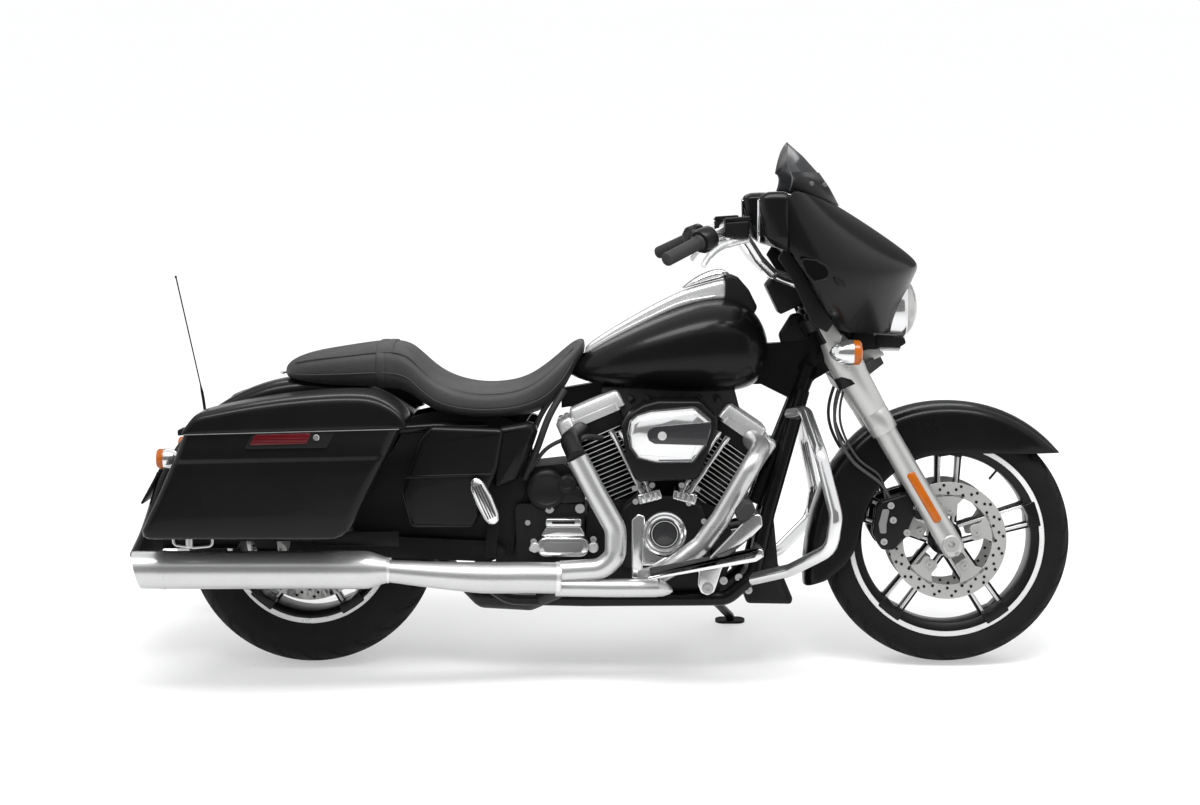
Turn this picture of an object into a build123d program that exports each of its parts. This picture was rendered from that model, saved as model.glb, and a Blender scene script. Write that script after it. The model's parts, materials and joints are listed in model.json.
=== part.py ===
from build123d import *
from math import cos, radians, sin, tan
import os

# A touring cruiser motorcycle, in millimetres. It is drawn upright, X forward from the
# rear axle, Y to the rider's left and Z up from the ground, and is leaned on its side
# stand at the end. Outlines are (x, z) pairs in the side view; distances out to the
# right side are positive, and most pairs of pieces are mirrored from the right side.

# ---- driving sizes -------------------------------------------------------------------
LEAN = 8.5  # degrees to the left, parked
WHEELBASE = 1625.0
TYRE_RADIUS = 320.0
FRONT_TYRE_WIDTH = 130.0
REAR_TYRE_WIDTH = 180.0
FRONT_TYRE_HEIGHT = 79.0
REAR_TYRE_HEIGHT = 117.0
FRONT_RIM_DEPTH = 25.0
REAR_RIM_DEPTH = 21.0
RIM_FLANGE = 13.0
RIM_LIP = 8.0
AXLE_RADIUS = 12.5
AXLE_BORE = 8.6
RUNNING_GAP = 0.3
SPOKE_PAIRS = 5
SPOKE_START = 16.0
SPOKE_SPREAD = 46.0
SPOKE_WIDTH = 21.0
SPOKE_DEPTH = 34.0
HUB_RADIUS = 36.0
DISC_RADIUS = 150.0
DISC_INNER = 114.0
DISC_THICK = 5.0
DISC_BOLTS = 76.0
RAKE = 26.0
TRAIL = 173.0
FORK_ANGLE = 30.5
FORK_HALF = 121.0
SLIDER_RADIUS = 27.0
COVER_RADIUS = 31.0
LOWER_CLAMP_Z = 765.0
UPPER_CLAMP_Z = 912.0
CLAMP_THICK = 30.0
STEM_RADIUS = 13.0
NECK_RADIUS = 27.0
FENDER_GAP = 22.0
FENDER_WALL = 4.0
CRANK = (875.0, 250.0)
REAR_TILT = -23.0
FRONT_TILT = 35.0
FIN_RADIUS = 76.0
BARREL_RADIUS = 60.0
FIN_COUNT = 15
FIN_PITCH = 12.0
FIN_THICK = 4.0
DECK = 192.0
CASE_HALF = 105.0
FRAME_TUBE = 19.0
BACKBONE_HALF = 24.0
RAIL_HALF = 118.0
RAIL_Z = 178.0
TANK_HALF = 165.0
SEAT_HALF = 190.0
BAG_INNER = 240.0
BAG_OUTER = 458.0
BAG_WALL = 5.0
MUFFLER_RADIUS = 47.0
MUFFLER_OUT = 318.0
PIPE_RADIUS = 27.0
GUARD_RADIUS = 16.5
BAR_RADIUS = 12.7
GRIP_RADIUS = 17.0
FAIRING_HALF = 375.0
FAIRING_WALL = 6.0
HEADLIGHT_RADIUS = 92.0
STAND_RADIUS = 11.0
SEATING = 0.3

REAR_CROWN = 118.0  # crown radius of the rear tyre, which touches the ground leaned

FX = WHEELBASE
FRONT_RIM_SEAT = TYRE_RADIUS - FRONT_TYRE_HEIGHT
REAR_RIM_SEAT = TYRE_RADIUS - REAR_TYRE_HEIGHT
FRONT_RIM_INNER = FRONT_RIM_SEAT - FRONT_RIM_DEPTH
REAR_RIM_INNER = REAR_RIM_SEAT - REAR_RIM_DEPTH


# ---- shared forms --------------------------------------------------------------------
def slab(points, near, far, radius=0.0):
    """A plate with an (x, z) outline, from `near` to `far` out to the right."""
    with BuildPart() as plate:
        with BuildSketch(Plane.XZ.offset(near)):
            with BuildLine():
                if radius:
                    FilletPolyline(*points, radius=radius, close=True)
                else:
                    Polyline(*points, close=True)
            make_face()
        extrude(amount=far - near)
    return plate.part


def column(points, low, high):
    """A body with an (x, y) outline in the plan view, between two heights."""
    with BuildPart() as block:
        with BuildSketch(Plane.XY.offset(low)):
            with BuildLine():
                Polyline(*points, close=True)
            make_face()
        extrude(amount=high - low)
    return block.part


def tube(points, radius, bends):
    """A round bar of straight runs joined by tangent arcs."""
    with BuildPart() as bar:
        with BuildLine() as route:
            FilletPolyline(*points, radius=bends)
        with BuildSketch(Plane(origin=route.line @ 0, z_dir=route.line % 0)):
            Circle(radius)
        sweep(path=route.line)
    return bar.part


def rod(start, end, radius):
    """A straight round bar between two points."""
    run = Vector(*end) - Vector(*start)
    with BuildPart() as bar:
        with BuildSketch(Plane(origin=start, z_dir=run)):
            Circle(radius)
        extrude(amount=run.length)
    return bar.part


def both_sides(piece):
    """A piece and its mirror image across the middle plane."""
    with BuildPart() as pair:
        add(piece)
        mirror(about=Plane.XZ)
    return pair.part


def less(piece, *cutters):
    """A piece with others cut out of it."""
    with BuildPart() as cut:
        add(piece)
        for cutter in cutters:
            add(cutter, mode=Mode.SUBTRACT)
    return cut.part


def common(piece, *others):
    """What a piece shares with every other one."""
    with BuildPart() as shared:
        add(piece)
        for other in others:
            add(other, mode=Mode.INTERSECT)
    return shared.part


def merged(*pieces):
    """Several pieces as one."""
    with BuildPart() as whole:
        for piece in pieces:
            add(piece)
    return whole.part


def rounded_loft(sections):
    """A loft through rounded boxes across the bike: x, half width, z low, z high, corner."""
    with BuildPart() as body:
        for x, half, low, high, corner in sections:
            with BuildSketch(Plane.YZ.offset(x)):
                with Locations((0, (low + high) / 2)):
                    RectangleRounded(2 * half, high - low, corner)
        loft()
    return body.part


def round_wheel(axle_x, points):
    """Side-view points about an axle, each from its angle and its distance outside the tyre."""
    return [
        (
            axle_x + (TYRE_RADIUS + clear) * cos(radians(angle)),
            TYRE_RADIUS + (TYRE_RADIUS + clear) * sin(radians(angle)),
        )
        for angle, clear in points
    ]


def sector(clear, start, end):
    """Side-view points on an arc about the rear axle, `clear` outside the tyre."""
    steps = 8
    angles = [start + (end - start) * step / steps for step in range(steps + 1)]
    return round_wheel(0, [(angle, clear) for angle in angles])


# ---- wheels ---------------------------------------------------------------------------
def tyre(x, width, seat):
    """A tyre about its axle: bead, sidewall, shoulder and crown."""
    half = width / 2
    bead = half - 2 * RIM_LIP - 3
    flange = seat + RIM_FLANGE
    shoulder = (half - 6, TYRE_RADIUS - 0.19 * width)
    side = (half, (flange + shoulder[1]) / 2)
    axle = TYRE_RADIUS
    with BuildPart() as ring:
        with BuildSketch(Plane.YZ.offset(x)):
            with BuildLine():
                Polyline(
                    (-bead - RIM_LIP, axle + flange),
                    (-bead, axle + flange),
                    (-bead, axle + seat),
                    (bead, axle + seat),
                    (bead, axle + flange),
                    (bead + RIM_LIP, axle + flange),
                )
                ThreePointArc(
                    (bead + RIM_LIP, axle + flange),
                    (side[0], axle + side[1]),
                    (shoulder[0], axle + shoulder[1]),
                )
                ThreePointArc(
                    (shoulder[0], axle + shoulder[1]),
                    (0, axle + TYRE_RADIUS),
                    (-shoulder[0], axle + shoulder[1]),
                )
                ThreePointArc(
                    (-shoulder[0], axle + shoulder[1]),
                    (-side[0], axle + side[1]),
                    (-bead - RIM_LIP, axle + flange),
                )
            make_face()
        revolve(axis=Axis((x, 0, axle), (0, 1, 0)))
    return ring.part


def rim(x, width, seat, inner, hub_half, start, lobes):
    """A cast wheel: barrel, lips, paired spokes, hub and the lobes the discs bolt to."""
    bead = width / 2 - 2 * RIM_LIP - 3
    flange = seat + RIM_FLANGE
    axle = TYRE_RADIUS
    centre = Plane((x, 0, axle), x_dir=(1, 0, 0), z_dir=(0, -1, 0))
    with BuildPart() as wheel:
        with BuildSketch(Plane.YZ.offset(x)):
            with BuildLine():
                Polyline(
                    (-bead - RIM_LIP, axle + inner),
                    (-bead - RIM_LIP, axle + flange),
                    (-bead, axle + flange),
                    (-bead, axle + seat),
                    (bead, axle + seat),
                    (bead, axle + flange),
                    (bead + RIM_LIP, axle + flange),
                    (bead + RIM_LIP, axle + inner),
                    close=True,
                )
            make_face()
        revolve(axis=Axis((x, 0, axle), (0, 1, 0)))
        with BuildSketch(centre):
            with PolarLocations((inner + HUB_RADIUS) / 2, SPOKE_PAIRS, start_angle=start):
                with Locations((0, SPOKE_SPREAD / 2), (0, -SPOKE_SPREAD / 2)):
                    Rectangle(inner - HUB_RADIUS + 24, SPOKE_WIDTH)
        extrude(amount=SPOKE_DEPTH / 2, both=True)
        with BuildSketch(centre):
            Circle(HUB_RADIUS)
        extrude(amount=hub_half, both=True)
        for low, high in lobes:
            with BuildSketch(centre.offset(low)):
                with PolarLocations(DISC_BOLTS / 2, SPOKE_PAIRS, start_angle=start):
                    Rectangle(DISC_BOLTS, 26)
                with PolarLocations(DISC_BOLTS, SPOKE_PAIRS, start_angle=start):
                    Circle(14)
            extrude(amount=high - low)
        with BuildSketch(centre):
            Circle(AXLE_RADIUS + RUNNING_GAP)
        extrude(amount=width, both=True, mode=Mode.SUBTRACT)
    return wheel.part


def disc(x, out, start):
    """A brake disc and its bolted lobes, its outer face `out` to the right."""
    centre = Plane((x, -out, TYRE_RADIUS), x_dir=(1, 0, 0), z_dir=(0, 1, 0))
    with BuildPart() as rotor:
        with BuildSketch(centre):
            Circle(DISC_RADIUS)
            Circle(DISC_INNER, mode=Mode.SUBTRACT)
            with PolarLocations(DISC_BOLTS, SPOKE_PAIRS, start_angle=-start):
                Circle(15)
            with PolarLocations((DISC_INNER + DISC_BOLTS) / 2, SPOKE_PAIRS, start_angle=-start):
                Rectangle(DISC_INNER - DISC_BOLTS + 16, 44)
        extrude(amount=DISC_THICK)
        with BuildSketch(centre):
            with PolarLocations(DISC_BOLTS, SPOKE_PAIRS, start_angle=-start):
                Circle(4.5)
        extrude(amount=DISC_THICK, mode=Mode.SUBTRACT)
    return rotor.part


def disc_room(x, out):
    """The slot a caliper leaves for its disc."""
    width = DISC_THICK + 7
    room = Cylinder(DISC_RADIUS + 4, width, rotation=(90, 0, 0))
    return room.moved(Location((x, -out + DISC_THICK / 2, TYRE_RADIUS)))


FENDER_OUT = REAR_TYRE_WIDTH / 2 + 18
FRONT_DISC_OUT = 78.0
FRONT_HUB_HALF = FORK_HALF - SLIDER_RADIUS - 4.0
REAR_DISC_OUT = REAR_TYRE_WIDTH / 2 + 4.0
ARM_INNER = REAR_TYRE_WIDTH / 2 + 24.0
REAR_HUB_HALF = ARM_INNER - 4.0

front_tyre = tyre(FX, FRONT_TYRE_WIDTH, FRONT_RIM_SEAT)
rear_tyre = tyre(0, REAR_TYRE_WIDTH, REAR_RIM_SEAT)
front_rim = rim(
    FX,
    FRONT_TYRE_WIDTH,
    FRONT_RIM_SEAT,
    FRONT_RIM_INNER,
    FRONT_HUB_HALF,
    SPOKE_START,
    [(0, FRONT_DISC_OUT - DISC_THICK), (0, DISC_THICK - FRONT_DISC_OUT)],
)
rear_rim = rim(
    0,
    REAR_TYRE_WIDTH,
    REAR_RIM_SEAT,
    REAR_RIM_INNER,
    REAR_HUB_HALF,
    SPOKE_START - 36,
    [(0, REAR_DISC_OUT - DISC_THICK)],
)
front_discs = both_sides(disc(FX, FRONT_DISC_OUT, SPOKE_START))
rear_disc = disc(0, REAR_DISC_OUT, SPOKE_START - 36)

PULLEY_RADIUS = 108.0
DRIVE_PULLEY_RADIUS = 50.0
DRIVE_X = 560.0
DRIVE_Z = 300.0
BELT_THICK = 6.0
BELT_WIDTH = 16.0
BELT_Y = ARM_INNER - 5.0 - BELT_WIDTH / 2
with BuildPart() as rear_pulley_block:
    with BuildSketch(Plane((0, BELT_Y - BELT_WIDTH / 2, TYRE_RADIUS), z_dir=(0, 1, 0))):
        Circle(PULLEY_RADIUS)
        Circle(HUB_RADIUS, mode=Mode.SUBTRACT)
    extrude(amount=BELT_WIDTH)
rear_pulley = rear_pulley_block.part

with BuildPart() as drive_belt_block:
    with BuildSketch(Plane((0, BELT_Y + BELT_WIDTH / 2, 0), x_dir=(1, 0, 0), z_dir=(0, -1, 0))):
        with Locations((0, TYRE_RADIUS)):
            Circle(PULLEY_RADIUS + BELT_THICK)
        with Locations((DRIVE_X, DRIVE_Z)):
            Circle(DRIVE_PULLEY_RADIUS + BELT_THICK)
        make_hull()
    extrude(amount=BELT_WIDTH)
    with BuildSketch(Plane((0, BELT_Y + BELT_WIDTH / 2, 0), x_dir=(1, 0, 0), z_dir=(0, -1, 0))):
        with Locations((0, TYRE_RADIUS)):
            Circle(PULLEY_RADIUS + RUNNING_GAP)
        with Locations((DRIVE_X, DRIVE_Z)):
            Circle(DRIVE_PULLEY_RADIUS)
        make_hull()
    extrude(amount=BELT_WIDTH, mode=Mode.SUBTRACT)
drive_belt = drive_belt_block.part


# ---- fork ------------------------------------------------------------------------------
def on_fork(run, out=0.0):
    """A point `run` up the fork legs from the axle, `out` to the right."""
    return (
        FX - run * sin(radians(FORK_ANGLE)),
        -out,
        TYRE_RADIUS + run * cos(radians(FORK_ANGLE)),
    )


def fork_run(z):
    """How far up the legs a height lies."""
    return (z - TYRE_RADIUS) / cos(radians(FORK_ANGLE))


def on_stem(z):
    """The point of the steering axis at a height."""
    return (FX + TRAIL - z * tan(radians(RAKE)), 0.0, z)


COVER_LOW = fork_run(600.0)
COVER_HIGH = fork_run(930.0)

with BuildPart() as fork_sliders_block:
    add(rod(on_fork(-34, FORK_HALF), on_fork(COVER_LOW, FORK_HALF), SLIDER_RADIUS))
    mirror(about=Plane.XZ)
    with BuildSketch(Plane((FX, FORK_HALF + SLIDER_RADIUS + 8, TYRE_RADIUS), z_dir=(0, -1, 0))):
        Circle(AXLE_RADIUS)
    extrude(amount=2 * (FORK_HALF + SLIDER_RADIUS + 8))
    with BuildSketch(Plane((FX, -FORK_HALF - SLIDER_RADIUS - 8, TYRE_RADIUS), z_dir=(0, 1, 0))):
        Circle(AXLE_BORE)
    extrude(amount=40, mode=Mode.SUBTRACT)
fork_sliders = fork_sliders_block.part

fork_covers = both_sides(
    rod(on_fork(COVER_LOW, FORK_HALF), on_fork(COVER_HIGH, FORK_HALF), COVER_RADIUS)
)


def clamp_plate(z):
    """A triple clamp: a plate across both legs and the stem, square to the stem."""
    stem = on_stem(z)
    leg = on_fork(fork_run(z))
    reach = stem[0] - leg[0]
    lean_back = radians(RAKE)
    plane = Plane(
        origin=stem,
        x_dir=(cos(lean_back), 0, sin(lean_back)),
        z_dir=(-sin(lean_back), 0, cos(lean_back)),
    )
    with BuildPart() as plate:
        with BuildSketch(plane.offset(-CLAMP_THICK / 2)):
            with Locations((-reach, FORK_HALF), (-reach, -FORK_HALF), (0, 0)):
                Circle(COVER_RADIUS + 8)
            make_hull()
        extrude(amount=CLAMP_THICK)
    return plate.part


stem = rod(on_stem(LOWER_CLAMP_Z), on_stem(UPPER_CLAMP_Z), STEM_RADIUS)
LIGHT_X = FX - 150
LIGHT_Z = 912.0
CLAMP_X = on_fork(fork_run(UPPER_CLAMP_Z))[0]
light_bracket = slab(
    [
        (CLAMP_X + 90, UPPER_CLAMP_Z + 1),
        (CLAMP_X + 90, UPPER_CLAMP_Z + 22),
        (LIGHT_X - 40, UPPER_CLAMP_Z + 22),
        (LIGHT_X - 40, UPPER_CLAMP_Z - 4),
    ],
    -26,
    26,
)
triple_clamps = less(
    merged(clamp_plate(LOWER_CLAMP_Z), clamp_plate(UPPER_CLAMP_Z), stem, light_bracket), fork_covers
)

NECK_LOW = LOWER_CLAMP_Z + 20
NECK_HIGH = UPPER_CLAMP_Z - 20

# A steered point: outlines of the fork's pieces are measured forward of the front axle.
def ahead(points):
    """Outline points measured forward of the front axle, as points of the bike."""
    return [(FX + x, z) for x, z in points]


FENDER_INNER = TYRE_RADIUS + FENDER_GAP
FENDER_HALF = FRONT_TYRE_WIDTH / 2 + 20
fender_outline = round_wheel(
    FX,
    [
        # angle about the axle, distance outside the tyre
        (197.6, 64),
        (178.4, 40),
        (160.1, 33),
        (142.1, 35),
        (123.7, 40),
        (107.0, 39),
        (90.0, 37),
        (71.4, 40),
        (54.4, 44),
        (37.0, 46),
        (48.0, -23),
        (56.0, -53),
        (66.0, -78),
        (78.0, -94),
        (92.0, -99),
        (110.0, -98),
        (128.0, -98),
        (146.0, -98),
        (163.0, -98),
        (176.0, -96),
        (187.0, -84),
        (194.0, -52),
        (198.5, 6),
    ],
)
fender_body = slab(fender_outline, -FENDER_HALF, FENDER_HALF)
fender_hollow = Cylinder(FENDER_INNER, 2 * (FENDER_HALF - FENDER_WALL), rotation=(90, 0, 0))
fender_pads = both_sides(
    rod(on_fork(fork_run(572), FENDER_HALF - 3), on_fork(fork_run(572), FORK_HALF), 15)
)
front_fender = less(
    merged(fender_body, fender_pads),
    fork_sliders,
    fender_hollow.moved(Location((FX, 0, TYRE_RADIUS))),
    slab(
        round_wheel(FX, [(200.3, 55), (178.3, 26), (158.2, -105), (0, -320), (213.0, -81)]),
        -FENDER_HALF + FENDER_WALL,
        FENDER_HALF - FENDER_WALL,
    ),
)

fairing_side = ahead(
    [
        (-440, 1181),
        (-431, 1208),
        (-411, 1214),
        (-281, 1164),
        (-171, 1099),
        (-95, 1041),
        (-78, 1018),
        (-104, 953),
        (-133, 855),
        (-163, 845),
        (-239, 852),
        (-288, 856),
        (-322, 896),
        (-356, 964),
        (-385, 1015),
        (-434, 1063),
        (-440, 1125),
    ]
)


# The fairing's bow at each height, from its middle back to a wing tip, as
# (forward of the front axle, out as a share of the half width).
FAIRING_LEVELS = {
    840: [(-132, 0), (-146, 0.20), (-198, 0.36), (-249, 0.46), (-285, 0.50), (-330, 0.54), (-470, 0.57)],
    930: [(-107, 0), (-120, 0.22), (-170, 0.42), (-231, 0.61), (-287, 0.71), (-329, 0.78), (-470, 0.84)],
    1010: [(-78, 0), (-90, 0.23), (-138, 0.46), (-213, 0.69), (-294, 0.86), (-354, 0.94), (-470, 0.95)],
    1060: [(-117, 0), (-130, 0.22), (-173, 0.45), (-232, 0.69), (-306, 0.89), (-371, 0.98), (-470, 0.99)],
    1110: [(-185, 0), (-192, 0.21), (-215, 0.43), (-262, 0.67), (-324, 0.88), (-385, 0.98), (-470, 1.00)],
    1176: [(-287, 0), (-292, 0.19), (-302, 0.40), (-323, 0.62), (-357, 0.83), (-401, 0.95), (-470, 0.98)],
    1220: [(-348, 0), (-352, 0.19), (-360, 0.40), (-370, 0.61), (-388, 0.80), (-414, 0.93), (-470, 0.96)],
}


def fairing_form(wall):
    """The fairing's rounded bow as a solid, `wall` inside its outer face."""
    half = FAIRING_HALF - wall
    with BuildPart() as form:
        for height, bow in FAIRING_LEVELS.items():
            right = [(FX + x - wall * (1 if out else 1.2), -out * half) for x, out in bow]
            left = [(x, -y) for x, y in reversed(right[1:])]
            with BuildSketch(Plane.XY.offset(height)):
                with BuildLine():
                    Spline(*left, *right)
                    Line(right[-1], left[0])
                make_face()
        loft(ruled=True)
    return form.part


def inset_slab(points, wall, near, far):
    """A plate whose outline is shrunk by a wall all round."""
    with BuildPart() as plate:
        with BuildSketch(Plane.XZ.offset(near)):
            with BuildLine():
                Polyline(*points, close=True)
            make_face()
            offset(amount=-wall, kind=Kind.INTERSECTION)
        extrude(amount=far - near)
    return plate.part


fairing_skin = common(slab(fairing_side, -FAIRING_HALF - 20, FAIRING_HALF + 20), fairing_form(0))
fairing_core = common(
    merged(
        inset_slab(fairing_side, FAIRING_WALL, -FAIRING_HALF, FAIRING_HALF),
        slab(ahead([(-470, 1070), (-470, 1175), (-420, 1200), (-420, 1060)]), -360, 360),
    ),
    fairing_form(FAIRING_WALL),
)

headlight_seat = rod((LIGHT_X - 40, 0, LIGHT_Z), (LIGHT_X + 90, 0, LIGHT_Z), HEADLIGHT_RADIUS + SEATING)
CHANNEL_HALF = FORK_HALF + 48
fork_channel = slab(
    ahead([(-480, 830), (-480, 1040), (-400, 1040), (-206, 966), (-206, 830)]), -CHANNEL_HALF, CHANNEL_HALF
)
fairing_outer = less(fairing_skin, fairing_core, headlight_seat, fork_channel)
with BuildPart() as headlight_block:
    with BuildSketch(Plane.YZ.offset(LIGHT_X - 40)):
        with Locations((0, LIGHT_Z)):
            Circle(HEADLIGHT_RADIUS)
    extrude(amount=62)
    with BuildSketch(Plane.XZ):
        with BuildLine():
            Line((LIGHT_X + 22, LIGHT_Z), (LIGHT_X + 22, LIGHT_Z + HEADLIGHT_RADIUS))
            ThreePointArc(
                (LIGHT_X + 22, LIGHT_Z + HEADLIGHT_RADIUS),
                (LIGHT_X + 60, LIGHT_Z + HEADLIGHT_RADIUS * 0.66),
                (LIGHT_X + 76, LIGHT_Z),
            )
            Line((LIGHT_X + 76, LIGHT_Z), (LIGHT_X + 22, LIGHT_Z))
        make_face()
    revolve(axis=Axis((LIGHT_X, 0, LIGHT_Z), (1, 0, 0)))
headlight = headlight_block.part

# ---- cockpit ---------------------------------------------------------------------------
dash_side = ahead(
    [(-446, 1072), (-446, 1172), (-428, 1196), (-400, 1196), (-400, 1050), (-430, 1060)]
)
fairing_inner = common(
    merged(
        slab(dash_side, -FAIRING_HALF, FAIRING_HALF),
        slab(ahead([(-440, 1060), (-300, 1060), (-300, 1000), (-385, 1018)]), -230, 230),
    ),
    fairing_core,
)

windshield_side = ahead(
    [(-409, 1333), (-332, 1242), (-305, 1200), (-300, 1172), (-312, 1172), (-340, 1236), (-415, 1328)]
)
windshield = common(
    slab(windshield_side, -260, 260),
    column(
        [(FX - 460, -230), (FX - 380, -215), (FX - 315, -130), (FX - 290, 0)]
        + [(FX - 315, 130), (FX - 380, 215), (FX - 460, 230)],
        1100,
        1400,
    ),
)

fairing_outer = less(fairing_outer, windshield)

SIGNAL_OUT = 232.0
SIGNAL_Z = 808.0
SIGNAL_BAR = 11.0
signal_bar = rod((FX - 268, -FORK_HALF, 802), (FX - 268, -SIGNAL_OUT, SIGNAL_Z), SIGNAL_BAR)
with BuildPart() as signal_shell:
    with BuildSketch(Plane.XZ.offset(SIGNAL_OUT)):
        with BuildLine():
            Polyline((FX - 236, SIGNAL_Z), (FX - 236, SIGNAL_Z + 33), (FX - 262, SIGNAL_Z + 31))
            ThreePointArc(
                (FX - 262, SIGNAL_Z + 31), (FX - 300, SIGNAL_Z + 20), (FX - 318, SIGNAL_Z)
            )
            Line((FX - 318, SIGNAL_Z), (FX - 236, SIGNAL_Z))
        make_face()
    revolve(axis=Axis((FX, -SIGNAL_OUT, SIGNAL_Z), (1, 0, 0)))
front_turn_signals = both_sides(
    less(merged(signal_shell.part, signal_bar), fork_covers, triple_clamps)
)

bar_route = [
    (FX - 452, 0, 1000),
    (FX - 452, -150, 1000),
    (FX - 492, -205, 1040),
    (FX - 545, -255, 1120),
    (FX - 610, -320, 1100),
    (FX - 722, -436, 1045),
]
half_bar = tube(bar_route, BAR_RADIUS, [30, 40, 40, 60])
riser = rod(on_stem(UPPER_CLAMP_Z + CLAMP_THICK / 2 + 6), (FX - 452, 0, 1000), 15)
riser = riser.moved(Location((0, -45, 0)))
handlebar = less(merged(both_sides(half_bar), both_sides(riser)), triple_clamps)


def on_bar(share):
    """A point on the straight outer run of the right handlebar, from its elbow outward."""
    start = Vector(*bar_route[-2])
    end = Vector(*bar_route[-1])
    return start + (end - start) * share


grips = less(both_sides(rod(on_bar(0.30), on_bar(1.04), GRIP_RADIUS)), handlebar)
bar_bottle = slab(ahead([(-566, 1118), (-516, 1112), (-520, 1160), (-572, 1162)]), 262, 320)
switch_box = rod(on_bar(0.06), on_bar(0.29), 24)
lever_side = [(-566, 1104), (-578, 1064), (-640, 1022), (-646, 1030), (-596, 1072), (-590, 1098)]
lever = slab(ahead(lever_side), 306, 322)
hand_controls = less(both_sides(merged(bar_bottle, switch_box, lever)), handlebar, grips)

mirrors = both_sides(
    merged(
        slab(ahead([(-505, 1095), (-500, 1185), (-478, 1200), (-472, 1100)]), 300, 440),
        rod((FX - 478, -360, 1110), (FX - 446, -340, 1110), 8),
    )
)
mirrors = less(mirrors, fairing_outer, fairing_inner)

caliper_outline = ahead(
    [(-186, 424), (-160, 440), (-96, 450), (-72, 420), (-112, 330), (-152, 292), (-178, 300), (-196, 350)]
)
caliper = less(
    slab(caliper_outline, 58, 108),
    disc_room(FX, FRONT_DISC_OUT),
    fork_sliders,
)
lug = slab(ahead([(-96, 450), (-92, 480), (-64, 470), (-38, 400), (-60, 372), (-90, 372)]), 98, 120)
HOSE_RADIUS = 4.0
hose_route = [
    (FX - 232, -76, LOWER_CLAMP_Z + 17),
    (FX - 280, -82, 700),
    (FX - 290, -100, 615),
    (FX - 250, -112, 530),
    (FX - 176, -100, 470),
    (FX - 150, -98, 430),
]
hose = tube(hose_route, HOSE_RADIUS, 30)
front_calipers = both_sides(less(merged(caliper, lug, hose), fork_sliders, triple_clamps))

# ---- frame -----------------------------------------------------------------------------
POST_HALF = 70.0
PIVOT_X = 480.0
PIVOT_Z = 300.0
neck = rod(on_stem(NECK_LOW), on_stem(NECK_HIGH), NECK_RADIUS)
neck_bore = rod(on_stem(NECK_LOW - 20), on_stem(NECK_HIGH + 20), STEM_RADIUS + RUNNING_GAP)
NECK_MID = on_stem((NECK_LOW + NECK_HIGH) / 2)
backbone_side = [
    (640, 655),
    (640, 705),
    (1010, 770),
    (1165, 820),
    (1275, 826),
    (NECK_MID[0] - 25, 868),
    (NECK_MID[0] + 12, 796),
    (1300, 735),
    (1243, 704),
    (1238, 672),
    (1150, 716),
    (1000, 712),
]
backbone = less(merged(slab(backbone_side, -BACKBONE_HALF, BACKBONE_HALF), neck), neck_bore)
cradle_route = [
    (1256, -34, 700),
    (1215, -58, 560),
    (1166, -84, 393),
    (1128, -RAIL_HALF, 236),
    (1060, -RAIL_HALF, RAIL_Z),
    (700, -RAIL_HALF, RAIL_Z - 2),
    (510, -RAIL_HALF, RAIL_Z + 2),
    (440, -POST_HALF, 216),
    (430, -POST_HALF, 470),
    (560, -60, 670),
]
CRADLE_BENDS = [60, 60, 60, 50, 60, 60, 40, 60]
cradle_tube = tube(cradle_route, FRAME_TUBE, CRADLE_BENDS)
cross_front = rod((1165, -100, 380), (1165, 100, 380), 12)
cross_low = rod((1000, -RAIL_HALF, RAIL_Z), (1000, RAIL_HALF, RAIL_Z), 12)
cross_rear = rod((520, -RAIL_HALF, RAIL_Z + 2), (520, RAIL_HALF, RAIL_Z + 2), 12)
cross_top = rod((560, -70, 670), (560, 70, 670), 14)
seat_post = rod((560, 0, 670), (650, 0, 690), 14)
cradle = less(
    merged(both_sides(cradle_tube), cross_front, cross_low, cross_rear, cross_top, seat_post),
    backbone,
)
rear_rail_route = [(520, -64, 612), (330, -168, 618), (60, -172, 600), (-150, -172, 560)]
rear_rail = tube(rear_rail_route, 12, [60, 60])
rear_hoop = rod((60, -FENDER_OUT, 600), (60, -BAG_INNER, 600), 10)
rear_stay = rod((-150, -FENDER_OUT, 560), (-150, -BAG_INNER, 560), 10)
rear_subframe = less(both_sides(merged(rear_rail, rear_hoop, rear_stay)), cradle)


# ---- engine and gearbox ----------------------------------------------------------------
def bore_plane(tilt):
    """A plane at the crank whose normal runs up a cylinder's axis."""
    return Plane(
        origin=(CRANK[0], 0, CRANK[1]),
        x_dir=(cos(radians(tilt)), 0, -sin(radians(tilt))),
        z_dir=(sin(radians(tilt)), 0, cos(radians(tilt))),
    )


def stub(tilt):
    """The case's mouth under a cylinder."""
    with BuildPart() as mouth:
        with BuildSketch(bore_plane(tilt)):
            RectangleRounded(136, 150, 20)
        extrude(amount=DECK)
    return mouth.part


def barrel_space(tilt):
    """The room a finned cylinder takes above its mouth."""
    with BuildPart() as room:
        with BuildSketch(bore_plane(tilt).offset(DECK)):
            Circle(FIN_RADIUS + 1)
        extrude(amount=FIN_COUNT * FIN_PITCH)
    return room.part


case_side = [
    (730, 190),
    (700, 240),
    (706, 400),
    (760, 425),
    (985, 425),
    (1060, 395),
    (1085, 300),
    (1040, 190),
]
crankcase = less(
    merged(slab(case_side, -CASE_HALF, CASE_HALF, 18), stub(REAR_TILT), stub(FRONT_TILT)),
    cradle,
    barrel_space(REAR_TILT),
    barrel_space(FRONT_TILT),
)
FINS_LONG = (FIN_COUNT - 1) * FIN_PITCH + FIN_THICK


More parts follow.
